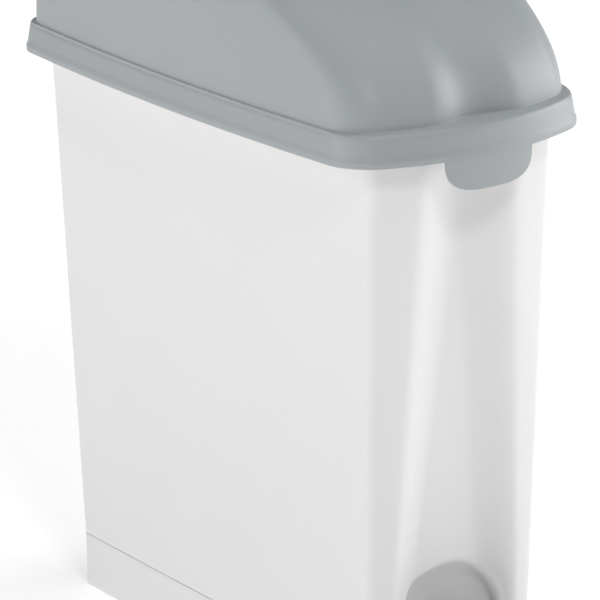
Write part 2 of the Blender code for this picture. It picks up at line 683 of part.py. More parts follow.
lever_front = PEDAL_CENTRE_Y - PIVOT_Y - PEDAL_SIZE[1] / 4
lever_rear = lever_reach + ROD_FOOT_RADIUS + 3 * MM
lever_sheet = bmesh.new()
stations = (lever_front, lever_rear)
section = ((-LEVER_HALF_WIDTH, -LEVER_FLANGE), (-LEVER_HALF_WIDTH, 0), (LEVER_HALF_WIDTH, 0),
           (LEVER_HALF_WIDTH, -LEVER_FLANGE))
rows = [[lever_sheet.verts.new((x, y, z + LEVER_FLANGE / 2)) for x, z in section] for y in stations]
for a in range(len(section) - 1):
    lever_sheet.faces.new((rows[0][a], rows[0][a + 1], rows[1][a + 1], rows[1][a]))
bmesh.ops.recalc_face_normals(lever_sheet, faces=lever_sheet.faces)
pedal_lever = from_bmesh("pedal_lever", lever_sheet, ZINC_STEEL)
if pedal_lever.data.polygons[1].normal.z < 0:
    pedal_lever.data.flip_normals()
tilted(pedal_lever)
thicken(pedal_lever, LEVER_SHEET)
cut(pedal_lever, cylinder("lever_bore", AXLE_RADIUS + AXLE_CLEARANCE, AXLE_LENGTH,
                          (0, PIVOT_Y, PIVOT_Z), "X"))

lever_axle = cylinder("lever_axle", AXLE_RADIUS, AXLE_LENGTH, (0, PIVOT_Y, PIVOT_Z), "X", ZINC_STEEL)
bevel(lever_axle, 0.5 * MM, 1)
smooth(lever_axle)

for side in (-1, 1):
    tag = "left" if side > 0 else "right"
    cap = box("bearing_cap_" + tag, (SADDLE_WIDTH, CAP_LENGTH, CAP_HEIGHT),
              (side * SADDLE_X, PIVOT_Y, PIVOT_Z + GAP + CAP_HEIGHT / 2), DARK_POLYPROPYLENE)
    bevel(cap, SMALL_ROUNDING)
    cut(cap, cylinder("cap_bore_" + tag, AXLE_RADIUS + AXLE_CLEARANCE, SADDLE_WIDTH * 2,
                      (side * SADDLE_X, PIVOT_Y, PIVOT_Z), "X"))


# ---------------------------------------------------------------- pedal and its tread

pedal_y = PEDAL_CENTRE_Y - PIVOT_Y
pedal_top = PEDAL_RISE + PEDAL_SIZE[2] / 2
pedal = tilted(box("pedal", PEDAL_SIZE, (0, pedal_y, PEDAL_RISE), GREY_POLYPROPYLENE))
bevel(pedal, PEDAL_ROUNDING, 3, radians(60))
pocket_front = lever_front - 1 * MM
pocket_length = PEDAL_SIZE[1]
pocket_top = LEVER_FLANGE / 2 + GAP
pocket_height = pocket_top + 2 * PEDAL_SIZE[2]
pocket = tilted(box("pedal_pocket", (2 * (LEVER_HALF_WIDTH + GAP), pocket_length, pocket_height),
                    (0, pocket_front + pocket_length / 2, pocket_top - pocket_height / 2)))
tread_size = (PEDAL_SIZE[0] - 2 * TREAD_MARGIN, PEDAL_SIZE[1] - 2 * TREAD_MARGIN)
tread_pocket = tilted(box("tread_pocket",
                          (tread_size[0] + 2 * GAP, tread_size[1] + 2 * GAP, 2 * TREAD_RECESS),
                          (0, pedal_y, pedal_top)))
cut(pedal, pocket, tread_pocket)

tread_base = pedal_top - TREAD_RECESS + GAP
pedal_tread = tilted(box("pedal_tread", (tread_size[0], tread_size[1], TREAD_THICKNESS),
                         (0, pedal_y, tread_base + TREAD_THICKNESS / 2), BLACK_RUBBER))
for i in range(RIB_COUNT):
    rib_y = pedal_y + (i - (RIB_COUNT - 1) / 2) * tread_size[1] / RIB_COUNT
    rib = tilted(box("tread_rib_%d" % (i + 1), (tread_size[0] - 2 * RIB_MARGIN, RIB_WIDTH, RIB_HEIGHT),
                     (0, rib_y, tread_base + TREAD_THICKNESS)))
    join(pedal_tread, rib)


# ---------------------------------------------------------------- push rod, foot, guides and clip

foot_base = rod_point(PIVOT_Z - lever_reach * sin(lever_tilt) + LEVER_FLANGE / 2 + ROD_FOOT_TO_LEVER)
rod_bottom = foot_base + rod_up * ROD_FOOT_SOCKET
pin_end = -EAR_THICKNESS / 2 - PIN_END
rod_offset = Vector((ROD_X, 0, 0))
bend_centre = pin_rest + rod_offset - rod_up * ROD_BEND - Vector((ROD_BEND, 0, 0))
elbow = [bend_centre + Vector((ROD_BEND * cos(t), 0, 0)) + rod_up * (ROD_BEND * sin(t))
         for t in (radians(15 * i) for i in range(7))]
push_rod = wire("push_rod", [rod_bottom + rod_offset, *elbow, Vector((pin_end, pin_rest.y, pin_rest.z))],
                ROD_RADIUS, ZINC_STEEL)
smooth(push_rod)

LEAN = Matrix.Rotation(-rod_lean, 4, "X")


def along_rod(piece, centre):
    """Lean a piece drawn upright at the origin with the rod and put its middle at a place."""
    piece.data.transform(Matrix.Translation(centre) @ LEAN)
    return piece


rod_foot = cylinder("rod_foot", ROD_FOOT_RADIUS, ROD_FOOT_HEIGHT, (0, 0, 0), "Z", DARK_POLYPROPYLENE)
along_rod(rod_foot, foot_base + rod_offset + rod_up * ROD_FOOT_HEIGHT / 2)
bevel(rod_foot, SMALL_ROUNDING)
cut(rod_foot, along_rod(cylinder("rod_foot_bore", ROD_RADIUS + GAP, ROD_FOOT_HEIGHT, (0, 0, 0), sides=16),
                        rod_bottom - rod_up * GAP + rod_offset + rod_up * ROD_FOOT_HEIGHT / 2))
smooth(rod_foot)

for number, height in enumerate(GUIDE_HEIGHTS, 1):
    on_line = rod_point(height)
    wall = Vector((0, rear_wall_y(height) - GAP, height))
    depth = (wall - on_line).dot(rod_back) + ROD_RADIUS + GUIDE_WALL
    middle = wall - rod_back * (depth / 2) + rod_offset
    size = (2 * (ROD_RADIUS + GUIDE_SHOULDER), depth, GUIDE_HEIGHT)
    guide = along_rod(box("rod_guide_%d" % number, size, (0, 0, 0), DARK_POLYPROPYLENE), middle)
    bevel(guide, SMALL_ROUNDING)
    cut(guide, along_rod(cylinder("guide_bore_%d" % number, ROD_RADIUS + ROD_CLEARANCE, 2 * GUIDE_HEIGHT,
                                  (0, 0, 0), sides=16), on_line + rod_offset))

clip_centre = (pin_end + 2 * CLIP_THICKNESS, pin_rest.y, pin_rest.z)
rod_clip = cylinder("rod_clip", CLIP_RADIUS, CLIP_THICKNESS, clip_centre, "X", ZINC_STEEL)
cut(rod_clip, cylinder("rod_clip_bore", ROD_RADIUS + GAP, 2 * CLIP_THICKNESS, clip_centre, "X", sides=16))
smooth(rod_clip)


# ---------------------------------------------------------------- lid shell

def tab_drop(x):
    """How far the lift tab hangs below the skirt at a place across the front."""
    share = abs(x) / TAB_HALF_WIDTH
    return TAB_DEPTH * (1 - share ** TAB_ROUNDNESS) ** (1 / TAB_ROUNDNESS) if share < 1 else 0.0


def skirt_plan(inset):
    reach = LID_HALF_LENGTH - inset
    return plan(LID_HALF_WIDTH - inset, -reach, reach, LID_CORNER - inset, LID_SIDE_BOW, LID_FRONT_BOW,
                LID_COLUMNS)


def dome_plan(rise):
    """The dome's outline at a height above the ledge: upright sides, a leaning front, a steep back."""
    share = rise / DOME_HEIGHT
    inset = SKIRT_DRAFT + LEDGE_SIDE
    half_width = (LID_HALF_WIDTH - inset) * (1 - share ** 10) ** (1 / 2.2) - 0.03 * rise * (1 - share)
    front = -LID_HALF_LENGTH + SKIRT_DRAFT + LEDGE_FRONT
    front += DOME_FRONT_SWEEP * (1 - (1 - share ** 2) ** (1 / 1.2))
    back = LID_HALF_LENGTH - inset - DOME_BACK_SWEEP * (1 - (1 - share ** 4) ** (1 / 2))
    corner = DOME_CORNER + 10 * MM * (rise / (69 * MM)) ** 2
    outline = plan(half_width, front, back, corner, LID_SIDE_BOW * min(1.0, 4 * (1 - share)),
                   DOME_FRONT_BOW * (1 - share ** 2), LID_COLUMNS)
    flute_half = DOME_FLUTE_HALF_WIDTH - DOME_FLUTE_NARROWING * rise
    fade = ease((DOME_HEIGHT - rise) / (0.35 * DOME_HEIGHT))
    return [(x, y + DOME_FLUTE_DEPTH * fade * ease((flute_half - abs(x)) / flute_half)
             if y < (front + back) / 2 else y) for x, y in outline]


skirt_bottom_plan = skirt_plan(0)
lid_rings = [[(x, y, SKIRT_BOTTOM - (tab_drop(x) if y < 0 else 0.0)) for x, y in skirt_bottom_plan]]
lid_rings.append(level(skirt_bottom_plan, SKIRT_BOTTOM + 0.6 * MM))
lid_rings.append(level(skirt_plan(0.75 * SKIRT_DRAFT), SKIRT_BOTTOM + 0.75 * SKIRT_HEIGHT))
lid_rings.append(level(skirt_plan(SKIRT_DRAFT), SKIRT_BOTTOM + SKIRT_HEIGHT - 1.5 * MM))
ledge_z = SKIRT_BOTTOM + SKIRT_HEIGHT
DOME_SHARES = (0.0, 0.1, 0.22, 0.36, 0.5, 0.63, 0.74, 0.83, 0.90, 0.95, 0.98, 0.995)
for share in DOME_SHARES:
    lid_rings.append(level(dome_plan(share * DOME_HEIGHT), ledge_z + share * DOME_HEIGHT))
lid_shell = loft("lid_shell", lid_rings, GREY_POLYPROPYLENE, close_top=True)
thicken(lid_shell, LID_WALL)

for side in (-1, 1):
    tag = "left" if side > 0 else "right"
    hinge_x = side * HINGE_SPACING / 2
    spread = (BODY_KNUCKLE_WIDTH + LID_KNUCKLE_WIDTH) / 2 + KNUCKLE_GAP
    relief = cylinder("knuckle_relief_" + tag, KNUCKLE_RADIUS + KNUCKLE_RELIEF,
                      BODY_KNUCKLE_WIDTH + 2 * KNUCKLE_GAP, (hinge_x, HINGE_Y, HINGE_Z), "X")
    cut(lid_shell, relief)
    for end in (-1, 1):
        knuckle = cylinder("lid_knuckle_%s_%d" % (tag, end + 2), KNUCKLE_RADIUS, LID_KNUCKLE_WIDTH,
                           (hinge_x + end * spread, HINGE_Y, HINGE_Z), "X")
        join(lid_shell, knuckle)
    bore = cylinder("lid_knuckle_bore_" + tag, HINGE_PIN_RADIUS + HINGE_PIN_CLEARANCE,
                    2 * (BODY_KNUCKLE_WIDTH + LID_KNUCKLE_WIDTH), (hinge_x, HINGE_Y, HINGE_Z), "X", sides=16)
    cut(lid_shell, bore)

# Slotted ear: its slot lies along the radius from the hinge, so the rod's pin can drive it
slot_direction = (pin_rest - hinge_point).normalized()
slot_inner = hinge_point + slot_direction * (CRANK_ARM - SLOT_CLEARANCE)
slot_outer = pin_rest + slot_direction * SLOT_CLEARANCE
# Turns an outline drawn across Y and Z so that it is thick along X
SIDEWAYS = Matrix(((0, 0, 1, 0), (1, 0, 0, 0), (0, 1, 0, 0), (0, 0, 0, 1)))


def capsule(inner, outer, radius, steps=8):
    """The outline round two end points in the YZ plane."""
    heading = (outer - inner).normalized()
    side = Vector((0, -heading.z, heading.y))
    points = []
    for centre, facing in ((outer, heading), (inner, -heading)):
        across = side if facing == heading else -side
        for i in range(steps + 1):
            turn = -pi / 2 + pi * i / steps
            place = centre + facing * radius * cos(turn) + across * radius * sin(turn)
            points.append((place.y, place.z))
    return points


ear_eye = prism("ear_eye", capsule(slot_inner, slot_outer, EAR_RADIUS), EAR_THICKNESS / 2, SIDEWAYS)
ear_root_y = LID_HALF_LENGTH - SKIRT_DRAFT - LID_WALL / 2
ear_arm_outline = [(slot_inner.y - 8 * MM, slot_inner.z + 2 * MM),
                   (slot_inner.y + EAR_RADIUS * 0.6, slot_inner.z - 3 * MM),
                   (HINGE_Y - 14.5 * MM, HINGE_Z + 4.5 * MM),
                   (ear_root_y, HINGE_Z + 5 * MM),
                   (ear_root_y, HINGE_Z + 26 * MM),
                   (ear_root_y - 12 * MM, HINGE_Z + 26 * MM)]
ear_arm = prism("ear_arm", ear_arm_outline, EAR_THICKNESS / 2 - 0.2 * MM, SIDEWAYS)
ear_slot = prism("ear_slot", capsule(slot_inner, slot_outer, ROD_RADIUS + SLOT_CLEARANCE), 10 * MM, SIDEWAYS)
join(lid_shell, ear_eye, ear_arm)
cut(lid_shell, ear_slot)

bumper_front = LID_HALF_LENGTH - SKIRT_DRAFT + LID_FRONT_BOW * (1 - (BUMPER_X / LID_HALF_WIDTH) ** 2)
bumper_y = BUMPER_TO_FRONT - bumper_front
seat_top = ledge_z + 0.5 * MM
for side in (-1, 1):
    tag = "left" if side > 0 else "right"
    bumper_bottom = BODY_TOP + GAP
    bumper_top = ledge_z - SEAT_DEPTH - GAP
    seat_height = seat_top - bumper_top - GAP
    seat = box("bumper_seat_" + tag, (*SEAT_SIZE, seat_height),
               (side * BUMPER_X, bumper_y + SEAT_TO_BACK, seat_top - seat_height / 2))
    join(lid_shell, seat)
    bumper = cylinder("lid_bumper_" + tag, BUMPER_RADIUS, bumper_top - bumper_bottom,
                      (side * BUMPER_X, bumper_y, (bumper_top + bumper_bottom) / 2), "Z", BLACK_RUBBER,
                      sides=16)
    smooth(bumper)
    move_origin(bumper, (0, HINGE_Y, HINGE_Z))

for side in (-1, 1):
    tag = "left" if side > 0 else "right"
    pin_length = BODY_KNUCKLE_WIDTH + 2 * LID_KNUCKLE_WIDTH + HINGE_PIN_EXCESS
    hinge_pin = cylinder("hinge_pin_" + tag, HINGE_PIN_RADIUS, pin_length,
                         (side * HINGE_SPACING / 2, HINGE_Y, HINGE_Z), "X", ZINC_STEEL, sides=16)
    bevel(hinge_pin, 0.4 * MM, 1)
    smooth(hinge_pin)


# ---------------------------------------------------------------- inner bucket with its bail

bucket_rim_bottom = BODY_TOP + GAP
bucket_base = plan(BUCKET_BOTTOM_HALF_WIDTH - BUCKET_BASE_CHAMFER, BUCKET_BOTTOM_FRONT + BUCKET_BASE_CHAMFER,
                   BUCKET_BOTTOM_BACK - BUCKET_BASE_CHAMFER, BUCKET_CORNER - BUCKET_BASE_CHAMFER / 2)
bucket_rings = [
    level(bucket_base, BUCKET_BOTTOM_Z),
    level(plan(BUCKET_BOTTOM_HALF_WIDTH, BUCKET_BOTTOM_FRONT, BUCKET_BOTTOM_BACK, BUCKET_CORNER),
          BUCKET_BOTTOM_Z + 1.25 * BUCKET_BASE_CHAMFER),
    level(plan(BUCKET_TOP_HALF_WIDTH, BUCKET_TOP_FRONT, BUCKET_TOP_BACK, BUCKET_CORNER),
          bucket_rim_bottom - 2 * MM),
    level(plan(BUCKET_RIM_HALF_WIDTH, BUCKET_TOP_FRONT - BUCKET_RIM_FRONT, BUCKET_TOP_BACK + BUCKET_RIM_BACK,
               BUCKET_CORNER),
          bucket_rim_bottom),
]
inner_bucket = loft("inner_bucket", bucket_rings, DARK_POLYPROPYLENE, close_bottom=True)
thicken(inner_bucket, BUCKET_WALL)

bail_pivot_z = bucket_rim_bottom - BAIL_DROP
hub_half = BUCKET_TOP_HALF_WIDTH + BAIL_HUB
for side in (-1, 1):
    hole = cylinder("bail_hole_%d" % (side + 2), BAIL_WIRE_RADIUS + BAIL_CLEARANCE, 2 * BAIL_TO_WALL,
                    (side * BUCKET_TOP_HALF_WIDTH, 0, bail_pivot_z), "X", sides=16)
    cut(inner_bucket, hole)


def bail_place(x, reach):
    """A place on the folded bail: it lies towards the pedal end and rises a little."""
    return Vector((x, -reach * cos(BAIL_LIFT), bail_pivot_z + reach * sin(BAIL_LIFT)))


bail_route = [Vector((-hub_half, 0, bail_pivot_z))]
bail_route.append(bail_place(-BAIL_HALF_WIDTH, 0))
for i in range(5):
    turn = radians(180 + 22.5 * i)
    bail_route.append(bail_place(-(BAIL_HALF_WIDTH - BAIL_BEND) + BAIL_BEND * cos(turn),
                                 BAIL_ARM - BAIL_BEND - BAIL_BEND * sin(turn)))
for i in range(5):
    turn = radians(270 + 22.5 * i)
    bail_route.append(bail_place((BAIL_HALF_WIDTH - BAIL_BEND) + BAIL_BEND * cos(turn),
                                 BAIL_ARM - BAIL_BEND - BAIL_BEND * sin(turn)))
bail_route.append(bail_place(BAIL_HALF_WIDTH, 0))
bail_route.append(Vector((hub_half, 0, bail_pivot_z)))
bucket_bail = wire("bucket_bail", bail_route, BAIL_WIRE_RADIUS, ZINC_STEEL)
smooth(bucket_bail)

grip_centre = bail_place(0, BAIL_ARM)
bail_grip = cylinder("bail_grip", GRIP_RADIUS, GRIP_LENGTH, grip_centre, "X", GREY_POLYPROPYLENE)
bevel(bail_grip, 2 * MM, 2)
cut(bail_grip, cylinder("grip_bore", BAIL_WIRE_RADIUS + GAP, 2 * GRIP_LENGTH, grip_centre, "X", sides=16))
smooth(bail_grip)


# ---------------------------------------------------------------- origins and the bin's own origin

move_origin(lid_shell, (0, HINGE_Y, HINGE_Z))
for piece in (pedal_lever, pedal, pedal_tread):
    move_origin(piece, (0, PIVOT_Y, PIVOT_Z))
for piece in (bucket_bail, bail_grip):
    move_origin(piece, (0, 0, bail_pivot_z))
for piece in (push_rod, rod_foot, rod_clip):
    move_origin(piece, pin_rest)
for piece in (lid_shell, body_shell, plinth, inner_bucket):
    smooth(piece)

nose_height = PEDAL_RISE - PEDAL_SIZE[2] / 2 + PEDAL_ROUNDING
pedal_nose = PIVOT_Y + (pedal_y - PEDAL_SIZE[1] / 2) * cos(lever_tilt) + nose_height * sin(lever_tilt)
front_end = min(pedal_nose, -LID_HALF_LENGTH - LID_FRONT_BOW)
rear_end = HINGE_Y + KNUCKLE_RADIUS
for piece in list(parts.objects) + list(cutters.objects):
    piece.location.y -= (front_end + rear_end) / 2
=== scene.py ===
"""Slim step-on waste bin: white tapered body on a plinth, grey domed lid, bucket, and the pedal, lever and
push rod that open it."""

import json
from math import cos, inf, pi, radians, sin

import bmesh
import bpy
from mathutils import Matrix, Vector


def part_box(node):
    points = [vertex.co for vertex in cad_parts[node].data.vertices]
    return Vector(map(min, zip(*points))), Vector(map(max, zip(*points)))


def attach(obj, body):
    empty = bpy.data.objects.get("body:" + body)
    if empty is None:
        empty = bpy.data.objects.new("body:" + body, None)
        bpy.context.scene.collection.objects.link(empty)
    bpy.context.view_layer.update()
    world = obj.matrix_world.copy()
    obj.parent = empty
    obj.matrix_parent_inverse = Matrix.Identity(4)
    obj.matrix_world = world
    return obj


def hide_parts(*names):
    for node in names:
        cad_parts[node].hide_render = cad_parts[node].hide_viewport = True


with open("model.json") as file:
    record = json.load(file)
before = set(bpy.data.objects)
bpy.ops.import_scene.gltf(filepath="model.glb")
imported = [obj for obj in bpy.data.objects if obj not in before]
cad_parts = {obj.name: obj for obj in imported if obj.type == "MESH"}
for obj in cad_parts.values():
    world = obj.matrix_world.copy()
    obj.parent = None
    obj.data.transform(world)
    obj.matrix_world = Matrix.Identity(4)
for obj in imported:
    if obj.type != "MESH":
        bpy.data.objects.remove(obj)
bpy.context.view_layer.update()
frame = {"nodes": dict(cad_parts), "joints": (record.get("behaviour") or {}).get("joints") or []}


# ================================================================ plinth
# The straight white band that the bin stands on, with a floor, an upstand that the body fits over, screw
# columns and two saddles for the axle. One injection moulding in polypropylene, cut away for the pedal's arm.

MM = 0.001
SKIRT_Z = 401 * MM                   # the body's sizes are given here and taper down to the seam
BODY_HALF_WIDTH = 74.4 * MM
BODY_HALF_LENGTH = 190.7 * MM
SIDE_TAPER = 5.1 * MM
END_TAPER = 17.3 * MM
BODY_CORNER = 7 * MM
BODY_FRONT_BOW = 10 * MM
BODY_SIDE_BOW = (4 * MM, 1 * MM)     # at the skirt, at the seam
BODY_WALL = 2.2 * MM
FLUTE_DEPTH = 15 * MM
FLUTE_EDGE = (41 * MM, 55 * MM)      # half width at the skirt, at the seam
FLUTE_FLOOR = 33 * MM                # half width of the flat floor at the seam
FLUTE_FLOOR_TOP = 320 * MM
ARCH_HALF_WIDTH = 41 * MM
ARCH_TOP = 104 * MM
ARCH_SILL = 9 * MM
LIP_RADIUS = 5.5 * MM
LIP_DEPTH = 7.5 * MM
PLINTH_WALL = 2.5 * MM
EDGE_X = 52 * MM                     # the front's columns are straight up and down as far as this
QUARTER = [radians(15 * k) for k in range(7)]

plinth_low, plinth_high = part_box("plinth")
body_low, body_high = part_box("body_shell")
SEAM_Z = body_low.z - 0.5 * MM
MIDDLE_Y = plinth_high.y - (BODY_HALF_LENGTH - END_TAPER)


def taper(z):
    """0 under the lid's skirt, 1 at the seam."""
    return (SKIRT_Z - z) / (SKIRT_Z - SEAM_Z)


def ease(t):
    t = min(1.0, max(0.0, t))
    return t * t * (3 - 2 * t)


def flute(x, z):
    """Depth of the pressed-in flute at a place on the front."""
    share = min(1.0, max(0.0, taper(z)))
    edge = FLUTE_EDGE[0] + (FLUTE_EDGE[1] - FLUTE_EDGE[0]) * share
    floor = FLUTE_FLOOR * max(0.0, (FLUTE_FLOOR_TOP - z) / (FLUTE_FLOOR_TOP - SEAM_Z))
    return FLUTE_DEPTH * ease((edge - abs(x)) / (edge - floor))


def spread(first, last, count):
    """Evenly spaced values, both ends included."""
    return [first + (last - first) * i / (count - 1) for i in range(count)]


def outline(half_width, front, back, corner, side_bow, front_bow, columns, corner_steps=8, side_steps=13):
    """A rounded rectangle seen from above, anticlockwise from its front left corner, with bulging sides."""
    inner = half_width - corner
    middle = (front + back) / 2
    reach = (back - front) / 2

    def turn(x, y, start):
        angles = [radians(start + 90 * i / corner_steps) for i in range(corner_steps + 1)]
        return [(x + corner * cos(a), y + corner * sin(a)) for a in angles]

    side = spread(-1, 1, side_steps + 2)[1:-1]
    points = turn(-inner, front + corner, 180)
    points += [(x, front) for x in columns]
    points += turn(inner, front + corner, 270)
    points += [(half_width, middle + (reach - corner) * f) for f in side]
    points += turn(inner, back - corner, 0)
    points += [(-x, back) for x in columns]
    points += turn(-inner, back - corner, 90)
    points += [(-half_width, middle - (reach - corner) * f) for f in side]
    bowed = []
    for x, y in points:
        away = (y - middle) / reach
        share = min(1.0, abs(x) / inner) if inner > 0 else 1.0
        bulge = side_bow * (1 - away * away) * share * (1 if x > 0 else -1)
        push = front_bow * (1 - (x / half_width) ** 2) * min(1.0, max(0.0, -away * reach / (reach - corner)))
        bowed.append((x + bulge, y - push))
    return bowed


def body_columns(inner):
    beside = [EDGE_X + (inner - EDGE_X) * f for f in (0.3, 0.65)]
    return [-x for x in reversed(beside)] + spread(-EDGE_X, EDGE_X, 53) + beside


def body_ring(z, inset=0.0, at_z=None):
    """The body's outline at a height, in the bin's own place."""
    half_width = BODY_HALF_WIDTH - SIDE_TAPER * taper(z) - inset
    half_length = BODY_HALF_LENGTH - END_TAPER * taper(z) - inset
    corner = max(BODY_CORNER - inset, 2 * MM)
    bow = BODY_SIDE_BOW[0] + (BODY_SIDE_BOW[1] - BODY_SIDE_BOW[0]) * taper(z)
    flat = outline(half_width, -half_length, half_length, corner, bow, BODY_FRONT_BOW,
                   body_columns(half_width - corner))
    return [(x, y + MIDDLE_Y + (flute(x, z) if y < -half_length / 2 else 0.0), z if at_z is None else at_z)
            for x, y in flat]


def front_y(x, z):
    """Where the front's outer face is."""
    half_width = BODY_HALF_WIDTH - SIDE_TAPER * taper(z)
    half_length = BODY_HALF_LENGTH - END_TAPER * taper(z)
    return MIDDLE_Y - half_length - BODY_FRONT_BOW * (1 - (x / half_width) ** 2) + flute(x, z)


def skin(form, rings, hole=None):
    """Join rings of points from the bottom up; hole is (first column, last column, first row, last row)."""
    rows = [[form.verts.new(p) for p in ring] for ring in rings]
    for k in range(len(rows) - 1):
        for i in range(len(rows[k])):
            if hole and hole[0] <= i < hole[1] and hole[2] <= k < hole[3]:
                continue
            j = (i + 1) % len(rows[k])
            form.faces.new((rows[k][i], rows[k][j], rows[k + 1][j], rows[k + 1][i]))
    return rows


def bridge(form, rows):
    """Join neighbouring rows of points, open at both ends."""
    for outer, inner in zip(rows, rows[1:]):
        for i in range(len(outer) - 1):
            form.faces.new((outer[i], outer[i + 1], inner[i + 1], inner[i]))


def soft_opening(form, border, opening, face_at, radius, depth):
    """Fill between a border and the opening inside it, and turn the opening's edge inwards as a soft lip."""
    rows = [border]
    ends = []
    for vert in border:
        q = Vector((vert.co.x, vert.co.z))
        p = opening(q)
        ends.append((q, p, (p - q).normalized()))
    for share in (0.3, 0.6, 0.85, 1.0):
        row = []
        for q, p, way in ends:
            at = q.lerp(p - way * radius, share)
            row.append(form.verts.new((at.x, face_at(at.x, at.y), at.y)))
        rows.append(row)
    for turn in QUARTER[1:]:
        onwards = radius * sin(turn)
        inwards = radius * (1 - cos(turn))
        row = []
        for q, p, way in ends:
            start = p - way * radius
            at = start + way * onwards
            row.append(form.verts.new((at.x, face_at(start.x, start.y) + inwards, at.y)))
        rows.append(row)
    rows.append([form.verts.new(v.co + Vector((0, depth - radius, 0))) for v in rows[-1]])
    bridge(form, rows)


def agree(form):
    """Turn all faces of a form the same way."""
    bmesh.ops.recalc_face_normals(form, faces=form.faces)


def face_outwards(form, below=inf):
    """Make all faces of an open skin agree; of those below a height, the rightmost looks to the right."""
    bmesh.ops.delete(form, geom=[v for v in form.verts if not v.link_faces], context="VERTS")
    agree(form)
    centres = {face: face.calc_center_median() for face in form.faces}
    widest = max(form.faces, key=lambda face: centres[face].x if centres[face].z < below else 0.0)
    if widest.normal.x < 0:
        bmesh.ops.reverse_faces(form, faces=form.faces)


def give_wall(form, wall, edge, square=0.55, steps=6):
    """Add the inner skin and join it to the outer one round every open edge with a rounded rim."""
    form.normal_update()
    outer = list(form.verts)
    faces = list(form.faces)
    rim_loops = [e.link_loops[0] for e in form.edges if len(e.link_faces) == 1]
    away = {}
    for loop in rim_loops:
        a, b = loop.vert, loop.link_loop_next.vert
        out = (b.co - a.co).cross(loop.face.normal).normalized()
        away[a] = away.get(a, Vector()) + out
        away[b] = away.get(b, Vector()) + out
    inner = {v: form.verts.new(v.co - v.normal * wall) for v in outer}
    chains = {}
    for v, out in away.items():
        middle = (v.co + inner[v].co) / 2
        half = v.co - middle
        chain = [v]
        for k in range(1, steps):
            c, s = cos(pi * k / steps), sin(pi * k / steps)
            level = abs(c) ** square * (1 if c > 0 else -1) if abs(c) > 1e-6 else 0.0
            chain.append(form.verts.new(middle + half * level + out.normalized() * edge * s ** square))
        chains[v] = chain + [inner[v]]
    ends = [(loop.vert, loop.link_loop_next.vert) for loop in rim_loops]
    for face in faces:
        form.faces.new([inner[v] for v in reversed(face.verts)])
    for a, b in ends:
        for k in range(steps):
            form.faces.new((chains[b][k], chains[a][k], chains[a][k + 1], chains[b][k + 1]))


def linked(name, data):
    """A new object in the scene."""
    thing = bpy.data.objects.new(name, data)
    bpy.context.scene.collection.objects.link(thing)
    return thing


def stand_in(piece, body, slot, *stands_for):
    """Say what a finished piece moves with and which solids it takes the place of; slot is not used."""
    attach(piece, body)
    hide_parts(*stands_for)
    return piece


def smooth(mesh, angle=40):
    """Smooth shading but for the real corners."""
    mesh.shade_smooth()
    mesh.set_sharp_from_angle(angle=radians(angle))


def settle(piece, step):
    """Turn a modifier's result into the piece's own mesh."""
    done = bpy.data.meshes.new_from_object(piece.evaluated_get(bpy.context.evaluated_depsgraph_get()))
    piece.modifiers.remove(step)
    old, piece.data = piece.data, done
    bpy.data.meshes.remove(old)
    done.name = piece.name


def as_piece(name, form, slot, body, *stands_for, angle=40):
    """Make a finished form one piece of the bin."""
    mesh = bpy.data.meshes.new(name)
    form.to_mesh(mesh)
    form.free()
    smooth(mesh, angle)
    mesh.materials.append(finishes[slot])
    return stand_in(linked(name, mesh), body, slot, *stands_for)


def linear(code):
    """sRGB hex to the linear colour that a shader takes."""
    parts = [int(code[i:i + 2], 16) / 255 for i in (1, 3, 5)]
    return (*[c / 12.92 if c <= 0.04045 else ((c + 0.055) / 1.055) ** 2.4 for c in parts], 1.0)


def feed(tree, node, **values):
    """Set a node's inputs, or link them where a value is another node's output; _6 is input number 6."""
    for name, value in values.items():
        socket = node.inputs[int(name[1:])] if name[0] == "_" else node.inputs[name.replace("_", " ")]
        if isinstance(value, bpy.types.NodeSocket):
            tree.links.new(value, socket)
        else:
            socket.default_value = value


def add(tree, kind, settings=None, **values):
    """Add a node and feed its inputs."""
    node = tree.nodes.new(kind)
    for name, value in (settings or {}).items():
        setattr(node, name, value)
    feed(tree, node, **values)
    return node


def new_material(name):
    """A material, its tree, its shader, and the place in the piece that its textures hang on."""
    material = bpy.data.materials.new(name)
    material.use_nodes = True
    tree = material.node_tree
    return material, tree, tree.nodes["Principled BSDF"], add(tree, "ShaderNodeTexCoord").outputs["Object"]


def noise(tree, place, size, **values):
    """Soft noise with patches of about one size."""
    return add(tree, "ShaderNodeTexNoise", Vector=place, Scale=1 / size, **values).outputs["Fac"]


def blend(tree, share, code, tint):
    """A colour between two."""
    mix = add(tree, "ShaderNodeMix", {"data_type": "RGBA"}, Factor=share, _6=linear(code), _7=linear(tint))
    return mix.outputs[2]


def ranged(tree, value, low, high, **values):
    """A value brought into the range from low to high."""
    return add(tree, "ShaderNodeMapRange", Value=value, To_Min=low, To_Max=high, **values).outputs["Result"]


def relief(tree, height, strength, depth, **values):
    """A fine unevenness of the surface."""
    bump = add(tree, "ShaderNodeBump", Strength=strength, Distance=depth, Height=height, **values)
    return bump.outputs["Normal"]


